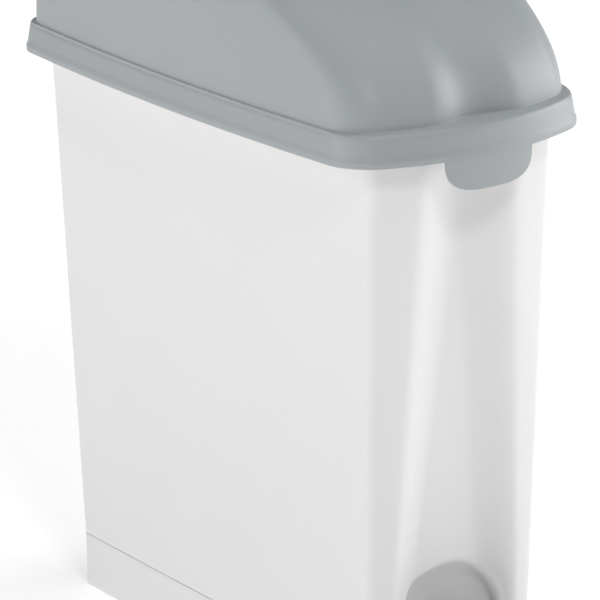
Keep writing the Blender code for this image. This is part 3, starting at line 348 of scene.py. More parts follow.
def moulded_polypropylene(name, code, tint, roughness, grain_size, scatter):
    """Injection-moulded polypropylene: waxy and satin, with the mould's fine spark-eroded grain, a faint long
    waviness where the thick wall shrank, and a colour that drifts by a hair."""
    material, tree, shader, place = new_material(name)
    drift = noise(tree, place, 85 * MM, Detail=2.0, Roughness=0.5)
    grain = relief(tree, noise(tree, place, grain_size, Detail=3.0, Roughness=0.6), 0.12, 0.06 * MM)
    wave = relief(tree, noise(tree, place, 50 * MM, Detail=1.0), 0.10, 0.5 * MM, Normal=grain)
    feed(tree, shader, Base_Color=blend(tree, drift, code, tint),
         Roughness=ranged(tree, drift, roughness - 0.03, roughness + 0.03), Normal=wave, IOR=1.49,
         Subsurface_Weight=scatter, Subsurface_Radius=(1.0, 0.95, 0.9), Subsurface_Scale=1.5 * MM)
    return material


WHITE = "white_polypropylene"
finishes = {WHITE: moulded_polypropylene(WHITE, "#EBEAE9", "#E8E7E7", 0.42, 0.8 * MM, 0.08)}

form = bmesh.new()
plinth_levels = spread(plinth_low.z + 0.6 * MM, 12 * MM, 4) + spread(16 * MM, SEAM_Z - 0.4 * MM, 6)
rings = [body_ring(SEAM_Z, 0.0, z) for z in plinth_levels]
first = next(i for i, p in enumerate(rings[0]) if abs(p[0] + EDGE_X) < 1e-7 and p[1] < 0)
last = first + 52
NOTCH_CORNER = 4 * MM
RIM_SWELL = 0.5 * MM                 # how far a wall's rounded rim stands out from its cut


def notch(q):
    """The place on the pedal opening's edge in the plinth that belongs to a border place."""
    side = -1 if q.x < 0 else 1
    centre = Vector((side * (ARCH_HALF_WIDTH - NOTCH_CORNER), ARCH_SILL + NOTCH_CORNER))
    if q.y >= centre.y:
        return Vector((side * ARCH_HALF_WIDTH, q.y))
    if abs(q.x) <= abs(centre.x):
        return Vector((q.x, ARCH_SILL))
    return centre + (q - centre).normalized() * NOTCH_CORNER


rows = skin(form, rings, (first, last, 0, len(rings) - 1))
border = [row[first] for row in reversed(rows)] + rows[0][first + 1:last] + [row[last] for row in rows]
soft_opening(form, border, notch, lambda x, z: front_y(x, SEAM_Z), LIP_RADIUS, LIP_DEPTH)
face_outwards(form)
give_wall(form, PLINTH_WALL, RIM_SWELL)
as_piece("plinth_band", form, WHITE, "bin", "plinth")


def plate(form, low_points, high_points):
    """A closed flat plate between two equal outlines."""
    low = [form.verts.new(p) for p in low_points]
    high = [form.verts.new(p) for p in high_points]
    form.faces.new(list(reversed(low)))
    form.faces.new(high)
    for i in range(len(low)):
        j = (i + 1) % len(low)
        form.faces.new((low[i], low[j], high[j], high[i]))


def block(form, low, high, rounding=0.0, steps=3):
    """A block between two corners, with rounded edges."""
    made = bmesh.ops.create_cube(form, size=1.0)["verts"]
    bmesh.ops.scale(form, vec=Vector(high) - Vector(low), verts=made)
    bmesh.ops.translate(form, vec=(Vector(high) + Vector(low)) / 2, verts=made)
    if rounding:
        edges = list({e for v in made for e in v.link_edges})
        bmesh.ops.bevel(form, geom=edges, offset=rounding, segments=steps, profile=0.5, affect="EDGES")


def lathe(profile, place=Matrix.Identity(4), sides=32):
    """Turn (radius, height) points round the Z axis and put the form in place; radius 0 closes an end."""
    form = bmesh.new()
    rings = []
    for radius, height in profile:
        around = [2 * pi * k / sides for k in range(sides)] if radius > 1e-7 else [0.0]
        points = [Vector((radius * cos(a), radius * sin(a), height)) for a in around]
        rings.append([form.verts.new(place @ p) for p in points])
    if len(rings[0]) > 1 and (Vector(profile[0]) - Vector(profile[-1])).length < 1e-7:
        bmesh.ops.delete(form, geom=rings.pop(), context="VERTS")
        rings.append(rings[0])
    for lower, upper in zip(rings, rings[1:]):
        for k in range(sides):
            m = (k + 1) % sides
            loop = [lower[k % len(lower)], lower[m % len(lower)],
                    upper[m % len(upper)], upper[k % len(upper)]]
            distinct = [v for n, v in enumerate(loop) if v not in loop[:n]]
            if len(distinct) > 2:
                form.faces.new(distinct)
    agree(form)
    return form


def plain_bar(radius, low, high, place):
    """A plain round bar, to cut a bore with."""
    return lathe([(0, low), (radius, low), (radius, high), (0, high)], place)


def rounded_bar(radius, low, high, edge, bore=0.0):
    """The profile of a round bar or ring with rounded edges, for the lathe."""
    arc = [radians(30 * k) for k in range(4)]
    points = [(radius - edge + edge * sin(a), low + edge - edge * cos(a)) for a in arc]
    points += [(radius - edge + edge * cos(a), high - edge + edge * sin(a)) for a in arc]
    if bore:
        points += [(bore + edge / 2, high), (bore, high - edge / 2)]
        points += [(bore, low + edge / 2), (bore + edge / 2, low)]
        return points + points[:1]
    return [(0.0, low)] + points + [(0.0, high)]


def cut_out(piece, name, *shapes):
    """Cut other forms out of a finished piece."""
    for number, shape in enumerate(shapes):
        mesh = bpy.data.meshes.new(f"{name}_{number}")
        agree(shape)
        shape.to_mesh(mesh)
        shape.free()
        tool = linked(mesh.name, mesh)
        step = piece.modifiers.new("cut", "BOOLEAN")
        step.operation = "DIFFERENCE"
        step.solver = "EXACT"
        step.object = tool
        settle(piece, step)
        bpy.data.objects.remove(tool, do_unlink=True)
        piece.data.set_sharp_from_angle(angle=radians(40))


FLOOR_Z = plinth_low.z + 2.5 * MM
FLOOR_THICKNESS = 2.5 * MM
axle_low, axle_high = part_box("lever_axle")
pivot = Vector((0, (axle_low.y + axle_high.y) / 2, (axle_low.z + axle_high.z) / 2))

floor_top = FLOOR_Z + FLOOR_THICKNESS
SUNK = 1 * MM                        # how deep the saddles and ribs start in the floor
SADDLE_X = 21 * MM
SADDLE_HALF = Vector((4.5 * MM, 11 * MM))
RIB_HALF = Vector((0.8 * MM, 24 * MM))
RIB_HEIGHT = 8 * MM

form = bmesh.new()
plate(form, body_ring(SEAM_Z, PLINTH_WALL - 0.1 * MM, FLOOR_Z),
      body_ring(SEAM_Z, PLINTH_WALL - 0.1 * MM, floor_top))
for x in (-SADDLE_X, SADDLE_X):
    block(form, (x - SADDLE_HALF.x, pivot.y - SADDLE_HALF.y, floor_top - SUNK),
          (x + SADDLE_HALF.x, pivot.y + SADDLE_HALF.y, pivot.z), 0.8 * MM, 2)
    for y in (-90 * MM, 70 * MM, 120 * MM):
        block(form, (x - RIB_HALF.x, y - RIB_HALF.y, floor_top - SUNK),
              (x + RIB_HALF.x, y + RIB_HALF.y, floor_top + RIB_HEIGHT), 0.3 * MM, 2)
floor_plate = as_piece("plinth_floor", form, WHITE, "bin", "plinth")
ACROSS = Matrix.Rotation(pi / 2, 4, "Y")


def lying(place):
    """Where a turned form lies along X at a place."""
    return Matrix.Translation(place) @ ACROSS


AXLE_BORE = 3.35 * MM


def cut_axle_bore(piece, name):
    cut_out(piece, name, plain_bar(AXLE_BORE, -40 * MM, 40 * MM, lying(pivot)))


cut_axle_bore(floor_plate, "axle_bore")

form = bmesh.new()
UPSTAND_INSET = BODY_WALL + 0.5 * MM
rings = [body_ring(SEAM_Z, UPSTAND_INSET, z)
         for z in (SEAM_Z - 8 * MM, SEAM_Z - 1 * MM, SEAM_Z + 4 * MM, plinth_high.z - 0.5 * MM)]
skin(form, rings, (first, last, 0, len(rings) - 1))
face_outwards(form)
give_wall(form, 2 * MM, RIM_SWELL)
as_piece("plinth_upstand", form, WHITE, "bin", "plinth")


# ================================================================ feet and base screws
# Four soft rubber buttons pressed into the plinth's floor, and four zinc-plated pan-head screws that hold the
# body down on the plinth from below.

def rubber(name, code, tint, grain_size):
    """Moulded rubber: nearly black, dull, with a fine talc-like bloom that lifts the colour in patches."""
    material, tree, shader, place = new_material(name)
    bloom = noise(tree, place, 6 * MM, Detail=4.0, Roughness=0.65)
    grain = noise(tree, place, grain_size, Detail=4.0, Roughness=0.7)
    feed(tree, shader, Base_Color=blend(tree, bloom, code, tint), Roughness=ranged(tree, bloom, 0.68, 0.85),
         Normal=relief(tree, grain, 0.35, 0.15 * MM), IOR=1.52)
    return material


def zinc_plate(name, code, tint):
    """Bright zinc on steel: a cool grey metal with the soft, slightly blotchy sheen of electroplating."""
    material, tree, shader, place = new_material(name)
    blotch = noise(tree, place, 9 * MM, Detail=5.0, Roughness=0.6)
    scratch = noise(tree, place, 1.2 * MM, Detail=3.0)
    feed(tree, shader, Base_Color=blend(tree, blotch, code, tint), Roughness=ranged(tree, blotch, 0.24, 0.42),
         Normal=relief(tree, scratch, 0.10, 0.05 * MM), Metallic=1.0)
    return material


RUBBER = "black_rubber"
ZINC = "zinc_steel"
finishes[RUBBER] = rubber(RUBBER, "#1B1B1C", "#3A3A3B", 0.5 * MM)
finishes[ZINC] = zinc_plate("zinc_plated_steel", "#B9BCC0", "#D8D6CE")


def start_tree(name, inputs):
    """A geometry node group with named inputs, and their sockets inside it."""
    tree = bpy.data.node_groups.new(name, "GeometryNodeTree")
    for label, kind in {"Geometry": "Geometry", **inputs, "Finish": "Material"}.items():
        tree.interface.new_socket(name=label, in_out="INPUT", socket_type="NodeSocket" + kind)
    tree.interface.new_socket(name="Geometry", in_out="OUTPUT", socket_type="NodeSocketGeometry")
    return tree, tree.nodes.new("NodeGroupInput").outputs


def end_tree(tree, given, shape):
    """Make every copy real, give all of it the finish and hand it out."""
    real = add(tree, "GeometryNodeRealizeInstances", Geometry=shape)
    done = add(tree, "GeometryNodeSetMaterial", Geometry=real.outputs["Geometry"], Material=given["Finish"])
    feed(tree, tree.nodes.new("NodeGroupOutput"), Geometry=done.outputs["Geometry"])
    return tree


def repeat_tree():
    """Copies one piece on every point of a mesh, turned and sized by named inputs."""
    tree, given = start_tree("repeat_on_points", {"Part": "Object", "Turn": "Rotation", "Size": "Float"})
    part = add(tree, "GeometryNodeObjectInfo", Object=given["Part"])
    copies = add(tree, "GeometryNodeInstanceOnPoints", Points=given["Geometry"],
                 Instance=part.outputs["Geometry"], Rotation=given["Turn"], Scale=given["Size"])
    return end_tree(tree, given, copies.outputs["Instances"])


repeat_on_points = repeat_tree()


def from_tree(name, tree, inputs, points, edges=()):
    """Run a tree on some points and keep its result as a plain mesh object."""
    piece = linked(name, bpy.data.meshes.new(name))
    piece.data.from_pydata([tuple(p) for p in points], edges, [])
    step = piece.modifiers.new("make", "NODES")
    step.node_group = tree
    for socket in tree.interface.items_tree:
        if socket.in_out == "INPUT" and socket.name in inputs:
            step[socket.identifier] = inputs[socket.name]
    piece.update_tag()
    bpy.context.view_layer.update()
    settle(piece, step)
    smooth(piece.data)
    return piece


def repeated(name, form, points, slot, body, *stands_for):
    """Copies of one small form on points, as one piece."""
    mesh = bpy.data.meshes.new(name + "_one")
    form.to_mesh(mesh)
    form.free()
    one = linked(mesh.name, mesh)
    given = {"Part": one, "Turn": (0, 0, 0), "Size": 1.0, "Finish": finishes[slot]}
    piece = from_tree(name, repeat_on_points, given, points)
    bpy.data.objects.remove(one, do_unlink=True)
    return stand_in(piece, body, slot, *stands_for)


def middle(node):
    low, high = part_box(node)
    return (low + high) / 2


def places(nodes, z):
    """The nodes' middles, all at one height."""
    return [Vector((middle(node).x, middle(node).y, z)) for node in nodes]


CORNERS = ("front_left", "front_right", "rear_left", "rear_right")
feet = ["foot_" + corner for corner in CORNERS]
foot_low, foot_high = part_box(feet[0])
foot_height = foot_high.z - foot_low.z
form = lathe([(0, 0.5 * MM), (4 * MM, 0.5 * MM), (4.6 * MM, 0), (8.2 * MM, 0), (8.8 * MM, 0.3 * MM),
              (9 * MM, 0.9 * MM), (9 * MM, foot_height - 0.3 * MM), (8.8 * MM, foot_height),
              (0, foot_height)], sides=40)
repeated("rubber_feet", form, places(feet, foot_low.z), RUBBER, "bin", *feet)

screws = ["base_screw_" + corner for corner in CORNERS]
screw_low, screw_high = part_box(screws[0])
SCREW_LENGTH = screw_high.z - screw_low.z
HEAD_HEIGHT = 2.2 * MM
thread = [(1.7 * MM if k % 2 else 1.45 * MM, HEAD_HEIGHT + 0.5 * MM * k) for k in range(1, 100)]
form = lathe([(0, 1.2 * MM), (1.2 * MM, 1.2 * MM), (1.5 * MM, 0.1 * MM), (2.6 * MM, 0), (3.5 * MM, 0.5 * MM),
              (3.8 * MM, 1.2 * MM), (3.8 * MM, 2.1 * MM), (3.7 * MM, HEAD_HEIGHT), (1.6 * MM, HEAD_HEIGHT)]
             + [p for p in thread if p[1] < SCREW_LENGTH - 2 * MM]
             + [(0.2 * MM, SCREW_LENGTH), (0, SCREW_LENGTH)], sides=16)
repeated("base_screws", form, places(screws, screw_low.z), ZINC, "bin", *screws)
BOSS_RADIUS = 5.5 * MM
form = lathe(rounded_bar(BOSS_RADIUS, FLOOR_Z + 1 * MM, SEAM_Z - 0.2 * MM, 0.4 * MM, 2.1 * MM), sides=24)
repeated("screw_columns", form, places(screws, 0), WHITE, "bin", "plinth")


# ================================================================ lever, axle and axle caps
# A zinc-plated steel channel that rocks on a round axle: the pedal sits on its front end and its rear end
# lifts the push rod. Two dark plastic caps hold the axle down in the plinth's saddles.

def joint(name):
    return next(j for j in frame["joints"] if j["name"] == name)


LEVER_TILT = radians(joint("pedal_pivot")["range_deg"][1]) / 2
TILTED = Matrix.Translation(pivot) @ Matrix.Rotation(-LEVER_TILT, 4, "X")
LEVER_HALF_WIDTH = 12 * MM
LEVER_FLANGE = 9 * MM
LEVER_SHEET = 2 * MM
LEVER_BEND = 2.6 * MM
LEVER_FRONT = -207.5 * MM
LEVER_REAR = 178 * MM

top = LEVER_FLANGE / 2
section = [(-LEVER_HALF_WIDTH, -top)]
section += [(-LEVER_HALF_WIDTH + LEVER_BEND - LEVER_BEND * cos(radians(18 * k)),
             top - LEVER_BEND + LEVER_BEND * sin(radians(18 * k))) for k in range(6)]
section += [(-x, z) for x, z in reversed(section)]
form = bmesh.new()
rows = [[form.verts.new((x, y, z)) for x, z in section] for y in spread(LEVER_FRONT, LEVER_REAR, 60)]
bridge(form, rows)
agree(form)
if max(form.faces, key=lambda face: abs(face.normal.z)).normal.z < 0:
    bmesh.ops.reverse_faces(form, faces=form.faces)
give_wall(form, LEVER_SHEET, 0.4 * MM, 0.6, 4)
bmesh.ops.transform(form, matrix=TILTED, verts=form.verts)
lever = as_piece("lever_channel", form, ZINC, "lever", "pedal_lever")
cut_axle_bore(lever, "lever_bore")

form = lathe(rounded_bar(3 * MM, axle_low.x, axle_high.x, 0.6 * MM), lying(pivot))
as_piece("axle", form, ZINC, "bin", "lever_axle")

DARK = "dark_polypropylene"
finishes[DARK] = moulded_polypropylene(DARK, "#55575A", "#505356", 0.46, 1.0 * MM, 0.0)
for side in ("left", "right"):
    frame["nodes"]["bearing_cap_" + side].material_slots[0].material = finishes[DARK]


# ================================================================ pedal and its tread
# A grey polypropylene shoe over the lever's end, soft at its edges and hollow beneath, with a black rubber
# tread let into its top. Five raised ribs across the tread give the foot its hold.

GREY = "grey_polypropylene"
finishes[GREY] = moulded_polypropylene(GREY, "#A2A7A9", "#9FA4A7", 0.44, 0.8 * MM, 0.0)

PEDAL_SIZE = Vector((70 * MM, 46 * MM, 13 * MM))
PEDAL_MIDDLE = Vector((0, -196 * MM, 2 * MM))
TREAD_SIZE = Vector((56 * MM, 32 * MM, 1.6 * MM))
PLAY = 0.3 * MM
tread_front = PEDAL_MIDDLE.y - TREAD_SIZE.y / 2
tread_back = PEDAL_MIDDLE.y + TREAD_SIZE.y / 2
pedal_top = PEDAL_MIDDLE.z + PEDAL_SIZE.z / 2


def tilted_block(low, high, rounding=0.0, steps=3):
    """A block given in the lever's own place and turned with it."""
    form = bmesh.new()
    block(form, low, high, rounding, steps)
    bmesh.ops.transform(form, matrix=TILTED, verts=form.verts)
    return form


form = tilted_block(PEDAL_MIDDLE - PEDAL_SIZE / 2, PEDAL_MIDDLE + PEDAL_SIZE / 2, 5 * MM, 8)
pedal = as_piece("pedal_shoe", form, GREY, "lever", "pedal", angle=50)
arm_room = tilted_block((-LEVER_HALF_WIDTH - PLAY, LEVER_FRONT - 1 * MM, -30 * MM),
                        (LEVER_HALF_WIDTH + PLAY, LEVER_FRONT + 60 * MM, LEVER_FLANGE / 2 + PLAY), 1.2 * MM)
tread_room = tilted_block((-TREAD_SIZE.x / 2 - PLAY, tread_front - PLAY, pedal_top - 1 * MM),
                          (TREAD_SIZE.x / 2 + PLAY, tread_back + PLAY, pedal_top + 5 * MM))
cut_out(pedal, "pedal_room", arm_room, tread_room)

tread_low = pedal_top - 0.7 * MM
tread_top = tread_low + TREAD_SIZE.z
form = tilted_block((-TREAD_SIZE.x / 2, tread_front, tread_low), (TREAD_SIZE.x / 2, tread_back, tread_top),
                    0.5 * MM)
as_piece("tread_pad", form, RUBBER, "lever", "pedal_tread")


def rib_tree():
    """A row of equal ribs with rounded edges, side by side along Y."""
    tree, given = start_tree("tread_ribs", {"Count": "Int", "Pitch": "Float", "Length": "Float",
                                            "Width": "Float", "Height": "Float", "Rounding": "Float"})
    half = add(tree, "ShaderNodeMath", {"operation": "MULTIPLY"}, _0=given["Length"], _1=0.5)
    less = add(tree, "ShaderNodeMath", {"operation": "MULTIPLY"}, _0=given["Length"], _1=-0.5)
    start = add(tree, "ShaderNodeCombineXYZ", X=less.outputs[0])
    end = add(tree, "ShaderNodeCombineXYZ", X=half.outputs[0])
    line = add(tree, "GeometryNodeCurvePrimitiveLine", Start=start.outputs[0], End=end.outputs[0])
    sides = add(tree, "GeometryNodeCurvePrimitiveQuadrilateral", Width=given["Width"], Height=given["Height"])
    soft = add(tree, "GeometryNodeFilletCurve", {"mode": "POLY"}, Curve=sides.outputs[0], Count=4,
               Radius=given["Rounding"])
    rib = add(tree, "GeometryNodeCurveToMesh", Curve=line.outputs[0], Profile_Curve=soft.outputs[0],
              Fill_Caps=True)
    step = add(tree, "ShaderNodeCombineXYZ", Y=given["Pitch"])
    row = add(tree, "GeometryNodeMeshLine", Count=given["Count"], Offset=step.outputs[0])
    copies = add(tree, "GeometryNodeInstanceOnPoints", Points=row.outputs[0], Instance=rib.outputs[0])
    return end_tree(tree, given, copies.outputs["Instances"])


RIB_COUNT = 5
RIB_PITCH = TREAD_SIZE.y / RIB_COUNT
ribs = from_tree("tread_ribs", rib_tree(),
                 {"Count": RIB_COUNT, "Pitch": RIB_PITCH, "Length": TREAD_SIZE.x - 4 * MM, "Width": 2.6 * MM,
                  "Height": 2.4 * MM, "Rounding": 0.7 * MM, "Finish": finishes[RUBBER]}, [(0, 0, 0)])
first_rib = Vector((0, PEDAL_MIDDLE.y - RIB_PITCH * (RIB_COUNT - 1) / 2, tread_top))
ribs.data.transform(TILTED @ Matrix.Translation(first_rib))
stand_in(ribs, "lever", RUBBER, "pedal_tread")


# ================================================================ body
# The white tapered shell: a deep polypropylene moulding with a flute pressed down its front, a soft-lipped
# arch with a shallow scoop for the foot, screw bosses, and a flange round its top for the bucket and the lid.

BODY_TOP = body_high.z
RIM_THICKNESS = 2.2 * MM
ARCH_SPRING = ARCH_TOP - ARCH_HALF_WIDTH
PATCH_TOP = 118 * MM

LID_HALF_WIDTH = 95.7 * MM
LID_HALF_LENGTH = 197.9 * MM
LID_CORNER = 20 * MM
LID_SIDE_BOW = 8.6 * MM
LID_FRONT_BOW = 24.4 * MM
LID_WALL = 2.3 * MM
SKIRT_HEIGHT = 21 * MM
SKIRT_DRAFT = 3.4 * MM


def arch(q):
    """The place on the arched opening's edge that belongs to a border place."""
    centre = Vector((0, ARCH_SPRING))
    if q.y <= centre.y:
        return Vector((ARCH_HALF_WIDTH if q.x > 0 else -ARCH_HALF_WIDTH, q.y))
    return centre + (q - centre).normalized() * ARCH_HALF_WIDTH


def rim_ring(inset, z):
    half_width = LID_HALF_WIDTH - inset
    reach = LID_HALF_LENGTH - inset
    corner = LID_CORNER - inset
    flat = outline(half_width, -reach, reach, corner, LID_SIDE_BOW, LID_FRONT_BOW,
                   body_columns(half_width - corner))
    return [(x, y + MIDDLE_Y, z) for x, y in flat]


def between(low_ring, high_ring, across, z):
    """A ring part of the way across from one ring to another, at a height."""
    return [(a[0] + (b[0] - a[0]) * across, a[1] + (b[1] - a[1]) * across, z)
            for a, b in zip(low_ring, high_ring)]


body_levels = spread(body_low.z + 0.5 * MM, PATCH_TOP, 24)
rings = [body_ring(z) for z in body_levels]
rings += [body_ring(z) for z in spread(PATCH_TOP + 6 * MM, BODY_TOP - 7 * MM, 48)]
flange = rim_ring(SKIRT_DRAFT * (BODY_TOP - SKIRT_Z) / SKIRT_HEIGHT + LID_WALL + 1.2 * MM + 0.6 * MM,
                  BODY_TOP - RIM_THICKNESS)
neck = body_ring(BODY_TOP, 0.0, BODY_TOP - RIM_THICKNESS - 2 * MM)
for turn in QUARTER[1:]:
    rings.append(between(neck, flange, 0.16 * (1 - cos(turn)), neck[0][2] + 1.6 * MM * sin(turn)))
for share in (0.3, 0.5, 0.7, 0.85, 1.0):
    rings.append(between(neck, flange, share, BODY_TOP - RIM_THICKNESS - 0.4 * MM * (1 - share)))
form = bmesh.new()
rows = skin(form, rings, (first, last, 0, len(body_levels) - 1))
top_row = rows[len(body_levels) - 1]
border = [row[first] for row in rows[:len(body_levels)]] + top_row[first + 1:last]
border += [row[last] for row in reversed(rows[:len(body_levels)])]
soft_opening(form, border, arch, front_y, LIP_RADIUS, LIP_DEPTH)
BELOW_RIM = 300 * MM
face_outwards(form, BELOW_RIM)
give_wall(form, BODY_WALL, RIM_SWELL)
body = as_piece("body", form, WHITE, "bin", "body_shell")

SCOOP_DEPTH = 11 * MM
SCOOP_RADIUS = ARCH_HALF_WIDTH + 1 * MM
SCOOP_WALL = 1.6 * MM
SCOOP_NARROWING = 0.7
SCOOP_ROUNDING = 1.3
form = bmesh.new()
scoop_back = front_y(0, ARCH_TOP) + LIP_DEPTH + SCOOP_DEPTH
rows = []
for lean in spread(0, 82, 12):
    narrow = cos(radians(lean)) ** SCOOP_NARROWING
    deep = sin(radians(lean)) ** SCOOP_ROUNDING
    row = []
    for turn in spread(0, 180, 33):
        x = SCOOP_RADIUS * cos(radians(turn))
        rise = SCOOP_RADIUS * sin(radians(turn))
        edge_y = front_y(x, ARCH_SPRING + rise) + LIP_DEPTH - 0.6 * MM
        row.append(form.verts.new((x * narrow, edge_y + (scoop_back - edge_y) * deep,
                                   ARCH_SPRING + rise * narrow)))
    rows.append(row)
bridge(form, rows)
form.faces.new(rows[-1])
agree(form)
if max(form.faces, key=lambda face: face.calc_center_median().z).normal.z > 0:
    bmesh.ops.reverse_faces(form, faces=form.faces)
give_wall(form, SCOOP_WALL, 0.4 * MM)
as_piece("foot_scoop", form, WHITE, "bin", "body_shell")

boss_top = body_low.z + 26 * MM
form = lathe(rounded_bar(BOSS_RADIUS, body_low.z, boss_top, 0.4 * MM, 2 * MM))
repeated("screw_bosses", form, places(screws, 0), WHITE, "bin", "body_shell")
form = bmesh.new()
WEB_HALF = 1.5 * MM
for screw in map(middle, screws):
    side = 1 if screw.x > 0 else -1
    wall_x = side * (BODY_HALF_WIDTH - SIDE_TAPER - 1.2 * MM)
    ends = sorted((screw.x + side * (BOSS_RADIUS - 0.7 * MM), wall_x))
    block(form, (ends[0], screw.y - WEB_HALF, body_low.z + 2 * MM), (ends[1], screw.y + WEB_HALF, boss_top),
          0.4 * MM, 2)
as_piece("boss_webs", form, WHITE, "bin", "body_shell")

hinge = Vector(joint("lid_hinge")["pos_m"])
EAR_THICKNESS = 5 * MM
EAR_ROOM = 5 * MM                    # half the width of the notch that the lid's ear passes through
ear_notch = bmesh.new()
rear_y = MIDDLE_Y + BODY_HALF_LENGTH - END_TAPER * taper(BODY_TOP)
block(ear_notch, (-EAR_ROOM, rear_y - 9 * MM, hinge.z + 2 * MM),
      (EAR_ROOM, rear_y + 8 * MM, hinge.z + 32 * MM))
cut_out(body, "ear_notch", ear_notch)

KNUCKLE_RADIUS = 5.5 * MM
BODY_KNUCKLE = 18 * MM
LID_KNUCKLE = 10 * MM
HINGE_BORE = 2.25 * MM
hinge_pins = [middle("hinge_pin_left"), middle("hinge_pin_right")]
form = lathe(rounded_bar(KNUCKLE_RADIUS, -BODY_KNUCKLE / 2, BODY_KNUCKLE / 2, 0.6 * MM, HINGE_BORE),
             ACROSS, 40)
repeated("body_knuckles", form, hinge_pins, WHITE, "bin", "body_shell")
form = bmesh.new()
wall_y = MIDDLE_Y + BODY_HALF_LENGTH - 1 * MM
for pin in hinge_pins:
    block(form, (pin.x - BODY_KNUCKLE / 2, wall_y, SKIRT_Z - 10 * MM),
          (pin.x + BODY_KNUCKLE / 2, hinge.y - 0.2 * MM, SKIRT_Z - 1.5 * MM), 0.8 * MM, 3)
as_piece("hinge_lugs", form, WHITE, "bin", "body_shell")


# ================================================================ push rod and its guides
# A zinc-plated wire that slides up the inside of the rear wall. Its foot stands on the lever, and its bent
# head runs in the slot of the lid's ear, held by a spring clip. Two dark guides keep it against the wall.

rod_up = Vector(joint("rod_slide")["axis"])
head = middle("rod_clip")
ROD_X = 7 * MM
ROD_RADIUS = 2.25 * MM
foot_middle = middle("rod_foot")
rod_low = foot_middle - rod_up * 3 * MM


def wire_tree():
    """A wire of one thickness along a route of corners, with rounded bends and closed ends."""
    tree, given = start_tree("bent_wire", {"Radius": "Float", "Bend": "Float"})
    route = add(tree, "GeometryNodeMeshToCurve", Mesh=given["Geometry"])
    bent = add(tree, "GeometryNodeFilletCurve", {"mode": "POLY"}, Curve=route.outputs[0], Count=10,
               Radius=given["Bend"], Limit_Radius=True)
    profile = add(tree, "GeometryNodeCurvePrimitiveCircle", Radius=given["Radius"], Resolution=20)
    made = add(tree, "GeometryNodeCurveToMesh", Curve=bent.outputs[0], Profile_Curve=profile.outputs[0],
               Fill_Caps=True)
    return end_tree(tree, given, made.outputs[0])


bent_wire = wire_tree()


def wire(name, route, radius, bend, body, *stands_for):
    """A bent steel wire along a route, with its ends welded on."""
    piece = from_tree(name, bent_wire, {"Radius": radius, "Bend": bend, "Finish": finishes[ZINC]}, route,
                      [(k, k + 1) for k in range(len(route) - 1)])
    form = bmesh.new()
    form.from_mesh(piece.data)
    bmesh.ops.remove_doubles(form, verts=form.verts, dist=1e-6)
    agree(form)
    form.to_mesh(piece.data)
    form.free()
    smooth(piece.data, 45)
    return stand_in(piece, body, ZINC, *stands_for)


wire("rod_wire", [(ROD_X, rod_low.y, rod_low.z), (ROD_X, head.y, head.z),
                  (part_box("push_rod")[0].x, head.y, head.z)], ROD_RADIUS, 4 * MM, "rod", "push_rod")
LEAN = rod_up.to_track_quat("Z", "Y").to_matrix().to_4x4()
ROD_BORE = ROD_RADIUS + 0.3 * MM
shoe_place = Matrix.Translation(foot_middle) @ LEAN
form = lathe(rounded_bar(6 * MM, -9 * MM, 9 * MM, 1.5 * MM), shoe_place, 40)
shoe = as_piece("rod_shoe", form, DARK, "rod", "rod_foot")
cut_out(shoe, "shoe_bore", plain_bar(ROD_BORE, -3.3 * MM, 12 * MM, shoe_place))
form = lathe(rounded_bar(4.6 * MM, -0.5 * MM, 0.5 * MM, 0.3 * MM, ROD_BORE), lying(head))
as_piece("head_clip", form, ZINC, "rod", "rod_clip")
for number in (1, 2):
    frame["nodes"][f"rod_guide_{number}"].material_slots[0].material = finishes[DARK]


# ================================================================ inner bucket with its handle
# A dark grey polypropylene liner that hangs on the body's flange by its own rim and lifts out by a wire
# handle with a moulded grip. The handle lies folded towards the front under the lid.

bucket_low, bucket_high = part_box("inner_bucket")
BUCKET_TOP_HALF_WIDTH = 69 * MM
BUCKET_BOTTOM_HALF_WIDTH = 62 * MM
BUCKET_CORNER = 18 * MM
BUCKET_WALL = 1.8 * MM
RIM_HALF_WIDTH = 78.5 * MM
rim_bottom = bucket_high.z - BUCKET_WALL
FRONT_DRAFT = 20 * MM
BACK_DRAFT = 17 * MM
bucket_front = bucket_low.y + 6 * MM
bucket_back = bucket_high.y - 3 * MM


def bucket_columns(inner):
    return [inner * f for f in spread(-0.9, 0.9, 15)]


def bucket_ring(z, grow=0.0):
    share = (rim_bottom - 2 * MM - z) / (rim_bottom - 2 * MM - bucket_low.z - 5 * MM)
    half_width = BUCKET_TOP_HALF_WIDTH - (BUCKET_TOP_HALF_WIDTH - BUCKET_BOTTOM_HALF_WIDTH) * share + grow
    corner = BUCKET_CORNER + grow * 0.8
    flat = outline(half_width, bucket_front + FRONT_DRAFT * share - grow,
                   bucket_back - BACK_DRAFT * share + grow, corner, 0.0, 0.0,
                   bucket_columns(half_width - corner))
    return [(x, y, z) for x, y in flat]


form = bmesh.new()
rings = []
for turn in QUARTER:
    rings.append([(x, y, bucket_low.z + 6 * MM * (1 - cos(turn)))
                  for x, y, _ in bucket_ring(bucket_low.z + 5 * MM, -6 * MM * (1 - sin(turn)))])
rings += [bucket_ring(z) for z in spread(bucket_low.z + 14 * MM, rim_bottom - 4 * MM, 24)]
for k in range(1, 6):
    turn = radians(18 * k)
    rings.append([(x, y, rim_bottom - 3 * MM + 3 * MM * sin(turn))
                  for x, y, _ in bucket_ring(rim_bottom - 2 * MM, 3 * MM * (1 - cos(turn)))])
corner = BUCKET_CORNER + 3 * MM
wide = outline(RIM_HALF_WIDTH, bucket_low.y + 0.5 * MM, bucket_high.y - 0.5 * MM, corner, 0.0, 0.0,
               bucket_columns(RIM_HALF_WIDTH - corner))
rings += [between(rings[-1], wide, share, rim_bottom) for share in (0.35, 0.7, 1.0)]
rows = skin(form, rings)
form.faces.new(list(reversed(rows[0])))
face_outwards(form, BELOW_RIM)
give_wall(form, BUCKET_WALL, RIM_SWELL)
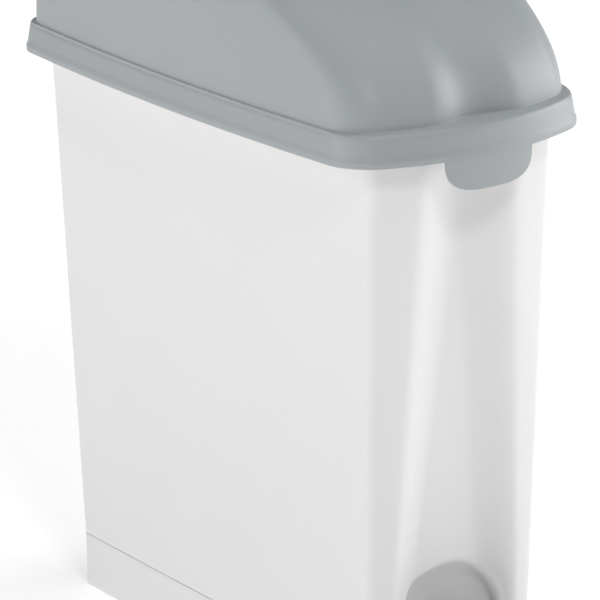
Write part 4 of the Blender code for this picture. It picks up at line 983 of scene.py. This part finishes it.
bucket = as_piece("bucket", form, DARK, "bucket", "inner_bucket")

bail_pivot = Vector(joint("bail_swing")["pos_m"])
BAIL_HOLE = 2.4 * MM
cut_out(bucket, "bail_holes", plain_bar(BAIL_HOLE, -90 * MM, 90 * MM, lying(bail_pivot)))

bail_low, bail_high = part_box("bucket_bail")
grip_low, grip_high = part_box("bail_grip")
grip = (grip_low + grip_high) / 2
bail_x = BUCKET_TOP_HALF_WIDTH - 6 * MM
wire("bail_wire", [(bail_low.x, *bail_pivot.yz), (-bail_x, *bail_pivot.yz), (-bail_x, *grip.yz),
                   (bail_x, *grip.yz), (bail_x, *bail_pivot.yz), (bail_high.x, *bail_pivot.yz)],
     2 * MM, 14 * MM, "bail", "bucket_bail")
GRIP_HALF = (grip_high.x - grip_low.x) / 2
GRIP_RADIUS = (grip_high.z - grip_low.z) / 2
GRIP_BORE = 2.4 * MM
finger_wave = []
for x in spread(-GRIP_HALF + 2 * MM, GRIP_HALF - 2 * MM, 49):
    swell = GRIP_RADIUS - 0.7 * MM * cos(pi * x / (2 * GRIP_HALF)) - 0.25 * MM * (1 + cos(x / MM * 1.57)) / 2
    finger_wave.append((swell, x))
grip_end = [(GRIP_RADIUS - 0.6 * MM, GRIP_HALF - 0.7 * MM), (GRIP_RADIUS - 2 * MM, GRIP_HALF),
            (GRIP_BORE, GRIP_HALF)]
form = lathe([(radius, -x) for radius, x in reversed(grip_end)] + finger_wave + grip_end
             + [(GRIP_BORE, -GRIP_HALF)], lying(grip))
as_piece("handle_grip", form, GREY, "bail", "bail_grip")


# ================================================================ lid
# One grey polypropylene shell: a skirt with a lift tab, a narrow ledge, and a dome that carries the body's
# flute on up its leaning front. Four knuckles behind, and a slotted ear inside that the push rod turns it by.

LEDGE_SIDE = 1.6 * MM
LEDGE_FRONT = 5 * MM
DOME_HEIGHT = 112 * MM
DOME_CORNER = 22 * MM
DOME_FRONT_BOW = 20 * MM
DOME_FRONT_SWEEP = 180 * MM
DOME_BACK_SWEEP = 62 * MM
DOME_FLUTE_DEPTH = 9 * MM
DOME_FLUTE_HALF_WIDTH = 38 * MM
TAB_HALF_WIDTH = 34.8 * MM
TAB_DEPTH = 21.5 * MM
TAB_ROUNDNESS = 3.2
RIM_EDGE = 0.7 * MM
LEDGE_Z = SKIRT_Z + SKIRT_HEIGHT

tab_shares = [cos(radians(a)) ** (2 / TAB_ROUNDNESS) for a in (0, 3, 7, 12, 18, 25, 33, 42, 52, 62, 72, 81)]
tab_edge = TAB_HALF_WIDTH / (LID_HALF_WIDTH - LID_CORNER)
right_half = sorted(share * tab_edge for share in tab_shares)
right_half += [tab_edge + (1 - tab_edge) * f
               for f in (0.012, 0.05, 0.12, 0.2, 0.3, 0.4, 0.5, 0.6, 0.7, 0.8, 0.9)]
LID_COLUMNS = [-f for f in reversed(right_half)] + [0.0] + right_half


def lid_outline(half_width, front, back, corner, side_bow, front_bow):
    corner = min(corner, 0.98 * half_width)
    return outline(half_width, front, back, corner, side_bow, front_bow,
                   [(half_width - corner) * f for f in LID_COLUMNS], 10, 25)


def skirt(inset, z):
    reach = LID_HALF_LENGTH - inset
    flat = lid_outline(LID_HALF_WIDTH - inset, -reach, reach, LID_CORNER - inset, LID_SIDE_BOW, LID_FRONT_BOW)
    return [(x, y + MIDDLE_Y, z) for x, y in flat]


def dome(share, wider=0.0):
    """The dome's outline: upright sides, a front that leans back, a steep rounded back."""
    rise = share * DOME_HEIGHT
    inset = SKIRT_DRAFT + LEDGE_SIDE
    half_width = (LID_HALF_WIDTH - inset) * (1 - share ** 10) ** (1 / 2.2) - 0.03 * rise * (1 - share)
    front = -LID_HALF_LENGTH + SKIRT_DRAFT + LEDGE_FRONT
    front += DOME_FRONT_SWEEP * (1 - (1 - share ** 2) ** (1 / 1.2))
    back = LID_HALF_LENGTH - inset - DOME_BACK_SWEEP * (1 - (1 - share ** 4) ** 0.5)
    corner = DOME_CORNER + 10 * MM * (rise / (69 * MM)) ** 2
    half_width = max(half_width, 0.02 * MM) + wider
    flat = lid_outline(half_width, front - wider, back + wider, corner,
                       LID_SIDE_BOW * min(1.0, 4 * (1 - share)), DOME_FRONT_BOW * (1 - share ** 2))
    half = DOME_FLUTE_HALF_WIDTH - 0.13 * rise
    fade = ease((DOME_HEIGHT - rise) / (0.35 * DOME_HEIGHT))
    return [(x, y + MIDDLE_Y + (DOME_FLUTE_DEPTH * fade * ease((half - abs(x)) / half)
                                if y < (front + back) / 2 else 0.0), LEDGE_Z + rise) for x, y in flat]


def tab_drop(x):
    share = abs(x) / (TAB_HALF_WIDTH - RIM_EDGE)
    return TAB_DEPTH * (1 - share ** TAB_ROUNDNESS) ** (1 / TAB_ROUNDNESS) if share < 1 else 0.0


skirt_edge = skirt(0.0, SKIRT_Z + RIM_EDGE)
skirt_edge = [(x, y, z - (tab_drop(x) if y < MIDDLE_Y else 0.0)) for x, y, z in skirt_edge]
skirt_level = skirt(0.0, SKIRT_Z + 4 * MM)
rings = [[(a[0], a[1], a[2] + (b[2] - a[2]) * f) for a, b in zip(skirt_edge, skirt_level)]
         for f in (0, 0.1, 0.25, 0.45, 0.7, 1)]
for share in (0.3, 0.42, 0.54, 0.66, 0.78, 0.88):
    rings.append(skirt(SKIRT_DRAFT * share, SKIRT_Z + SKIRT_HEIGHT * share))
shoulder = skirt(SKIRT_DRAFT, LEDGE_Z - 1.8 * MM)
FILLET = 1.4 * MM
ledge_end = dome(0.0, FILLET)
for turn in QUARTER:
    rings.append(between(shoulder, ledge_end, 1 - cos(turn), shoulder[0][2] + 1.8 * MM * sin(turn)))
for turn in QUARTER[1:6]:
    rise = FILLET * (1 - cos(turn))
    rings.append([(x, y, LEDGE_Z + rise) for x, y, _ in dome(rise / DOME_HEIGHT, FILLET * (1 - sin(turn)))])
for t in spread(0.0, 1.0, 61):
    share = FILLET / DOME_HEIGHT + (1 - FILLET / DOME_HEIGHT) * (1 - (1 - t) ** 2.1)
    rings.append(dome(min(share, 1.0)))
form = bmesh.new()
skin(form, rings)
bmesh.ops.remove_doubles(form, verts=form.verts, dist=0.06 * MM)
face_outwards(form, LEDGE_Z - 4 * MM)
give_wall(form, LID_WALL, RIM_EDGE)
lid = as_piece("lid", form, GREY, "lid", "lid_shell", angle=60)
RELIEF_HALF = BODY_KNUCKLE / 2 + 0.4 * MM
cut_out(lid, "knuckle_relief", *[plain_bar(KNUCKLE_RADIUS + 0.8 * MM, -RELIEF_HALF, RELIEF_HALF, lying(pin))
                                 for pin in hinge_pins])

form = lathe(rounded_bar(KNUCKLE_RADIUS, -LID_KNUCKLE / 2, LID_KNUCKLE / 2, 0.6 * MM, HINGE_BORE), ACROSS, 40)
apart = (BODY_KNUCKLE + LID_KNUCKLE) / 2 + 0.4 * MM
repeated("lid_knuckles", form, [pin + Vector((end * apart, 0, 0)) for pin in hinge_pins for end in (-1, 1)],
         GREY, "lid", "lid_shell")
PIN_HALF = 20.5 * MM
form = lathe(rounded_bar(1.9 * MM, -PIN_HALF, PIN_HALF, 0.4 * MM), ACROSS, 24)
repeated("hinge_pins", form, hinge_pins, ZINC, "bin", "hinge_pin_left", "hinge_pin_right")

bumpers = ("lid_bumper_left", "lid_bumper_right")
bumper_low, bumper_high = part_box(bumpers[0])
form = lathe(rounded_bar(3.5 * MM, 0, bumper_high.z - bumper_low.z, 0.8 * MM), sides=28)
repeated("rubber_bumpers", form, places(bumpers, bumper_low.z), RUBBER, "lid", *bumpers)
form = bmesh.new()
for place in map(middle, bumpers):
    block(form, (place.x - 4.5 * MM, place.y - 3 * MM, bumper_high.z + 0.3 * MM),
          (place.x + 4.5 * MM, place.y + 8 * MM, LEDGE_Z - 1 * MM), 0.6 * MM, 3)
as_piece("bumper_seats", form, GREY, "lid", "lid_shell")

# the slotted ear, drawn in the YZ plane
CRANK_ARM = 24 * MM
SLOT_CLEARANCE = 1.1 * MM
EAR_RADIUS = 6.2 * MM
pin_rest = Vector((0, head.y, head.z))
out = (pin_rest - Vector((0, hinge.y, hinge.z))).normalized()
slot_inner = Vector((0, hinge.y, hinge.z)) + out * (CRANK_ARM - SLOT_CLEARANCE)
slot_outer = pin_rest + out * SLOT_CLEARANCE


def capsule(radius, steps=14):
    side = Vector((0, -out.z, out.y))
    points = []
    for centre, facing, across in ((slot_outer, out, side), (slot_inner, -out, -side)):
        for k in range(steps + 1):
            turn = -pi / 2 + pi * k / steps
            points.append(centre + facing * radius * cos(turn) + across * radius * sin(turn))
    return points


def upright_plate(points, thickness):
    form = bmesh.new()
    plate(form, [(thickness / 2, p.y, p.z) for p in points], [(-thickness / 2, p.y, p.z) for p in points])
    agree(form)
    return form


root_y = MIDDLE_Y + LID_HALF_LENGTH - SKIRT_DRAFT - LID_WALL / 2
eye = upright_plate(capsule(EAR_RADIUS), EAR_THICKNESS)
bmesh.ops.bevel(eye, geom=[e for e in eye.edges if e.calc_face_angle(0) > 1.2], offset=0.5 * MM, segments=2,
                profile=0.5, affect="EDGES")
arm_top = hinge.z + 26 * MM
arm = upright_plate([slot_inner + Vector((0, -8 * MM, 2 * MM)),
                     slot_inner + Vector((0, EAR_RADIUS * 0.6, -3 * MM)),
                     Vector((0, hinge.y - 14.5 * MM, hinge.z + 4.5 * MM)),
                     Vector((0, root_y, hinge.z + 5 * MM)), Vector((0, root_y, arm_top)),
                     Vector((0, root_y - 12 * MM, arm_top))], EAR_THICKNESS - 0.4 * MM)
for name, form in (("ear_eye", eye), ("ear_arm", arm)):
    piece = as_piece(name, form, GREY, "lid", "lid_shell")
    cut_out(piece, name + "_slot", upright_plate(capsule(ROD_RADIUS + SLOT_CLEARANCE), 20 * MM))


# ================================================================ floor, lights and camera
# A pale seamless floor that glows more the further it is from the bin, a broad window-like light from the
# left, one from the right, a large soft one above, a small lamp in front, and a long lens from front left.

floor_mesh = bpy.data.meshes.new("floor")
floor_mesh.from_pydata([(-30, -30, 0), (30, -30, 0), (30, 30, 0), (-30, 30, 0)], [], [(0, 1, 2, 3)])
floor = linked("floor", floor_mesh)

# white paper: matt, with faint fibre flecks, and a glow that lets the floor run out to white far from the bin
paper, tree, shader, place = new_material("white_paper")
far = add(tree, "ShaderNodeVectorMath", {"operation": "LENGTH"}, Vector=place).outputs["Value"]
feed(tree, shader, Base_Color=blend(tree, noise(tree, place, 25 * MM), "#F8F8F8", "#FCFCFC"), Roughness=0.9,
     Specular_IOR_Level=0.1, Emission_Color=(1, 1, 1, 1),
     Emission_Strength=ranged(tree, far, 0.38, 0.95, From_Min=0.5, From_Max=3.0))
floor_mesh.materials.append(paper)

world = bpy.data.worlds.new("studio")
bpy.context.scene.world = world
world.use_nodes = True
world.node_tree.nodes["Background"].inputs["Color"].default_value = (1, 1, 1, 1)
world.node_tree.nodes["Background"].inputs["Strength"].default_value = 0.12


def soft_light(name, place, aim, width, height, power):
    lamp = bpy.data.lights.new(name, "AREA")
    lamp.shape = "RECTANGLE"
    lamp.size = width
    lamp.size_y = height
    lamp.energy = power
    holder = linked(name, lamp)
    holder.location = place
    holder.rotation_euler = (Vector(aim) - Vector(place)).to_track_quat("-Z", "Y").to_euler()


soft_light("window_left", (-2.6, 0.5, 1.0), (0, 0, 0.3), 1.8, 1.8, 24)
soft_light("softbox_right", (2.1, -0.7, 0.9), (0, 0, 0.25), 1.1, 1.4, 26)
soft_light("softbox_above", (0.3, -0.2, 2.8), (0, 0, 0.2), 2.2, 2.2, 26)
soft_light("front_lamp", (-0.8, -2.3, 2.6), (0, 0, 0.3), 0.6, 0.6, 20)

bpy.context.scene.view_settings.view_transform = "Standard"

AZIMUTH = radians(-35.018)
ELEVATION = radians(17.947)
ROLL = radians(-0.841)
back = Vector((sin(AZIMUTH) * cos(ELEVATION), -cos(AZIMUTH) * cos(ELEVATION), sin(ELEVATION)))
right = Vector((cos(AZIMUTH), sin(AZIMUTH), 0))
up = back.cross(right)
camera_x = right * cos(ROLL) + up * sin(ROLL)
camera_y = up * cos(ROLL) - right * sin(ROLL)
camera = linked("camera", bpy.data.cameras.new("camera"))
camera.data.sensor_width = 36
camera.data.lens = 267.05
camera.matrix_world = Matrix.Translation((-1.6657, -2.3724, 1.1884)) @ Matrix(
    (camera_x, camera_y, back)).transposed().to_4x4()
bpy.context.scene.camera = camera
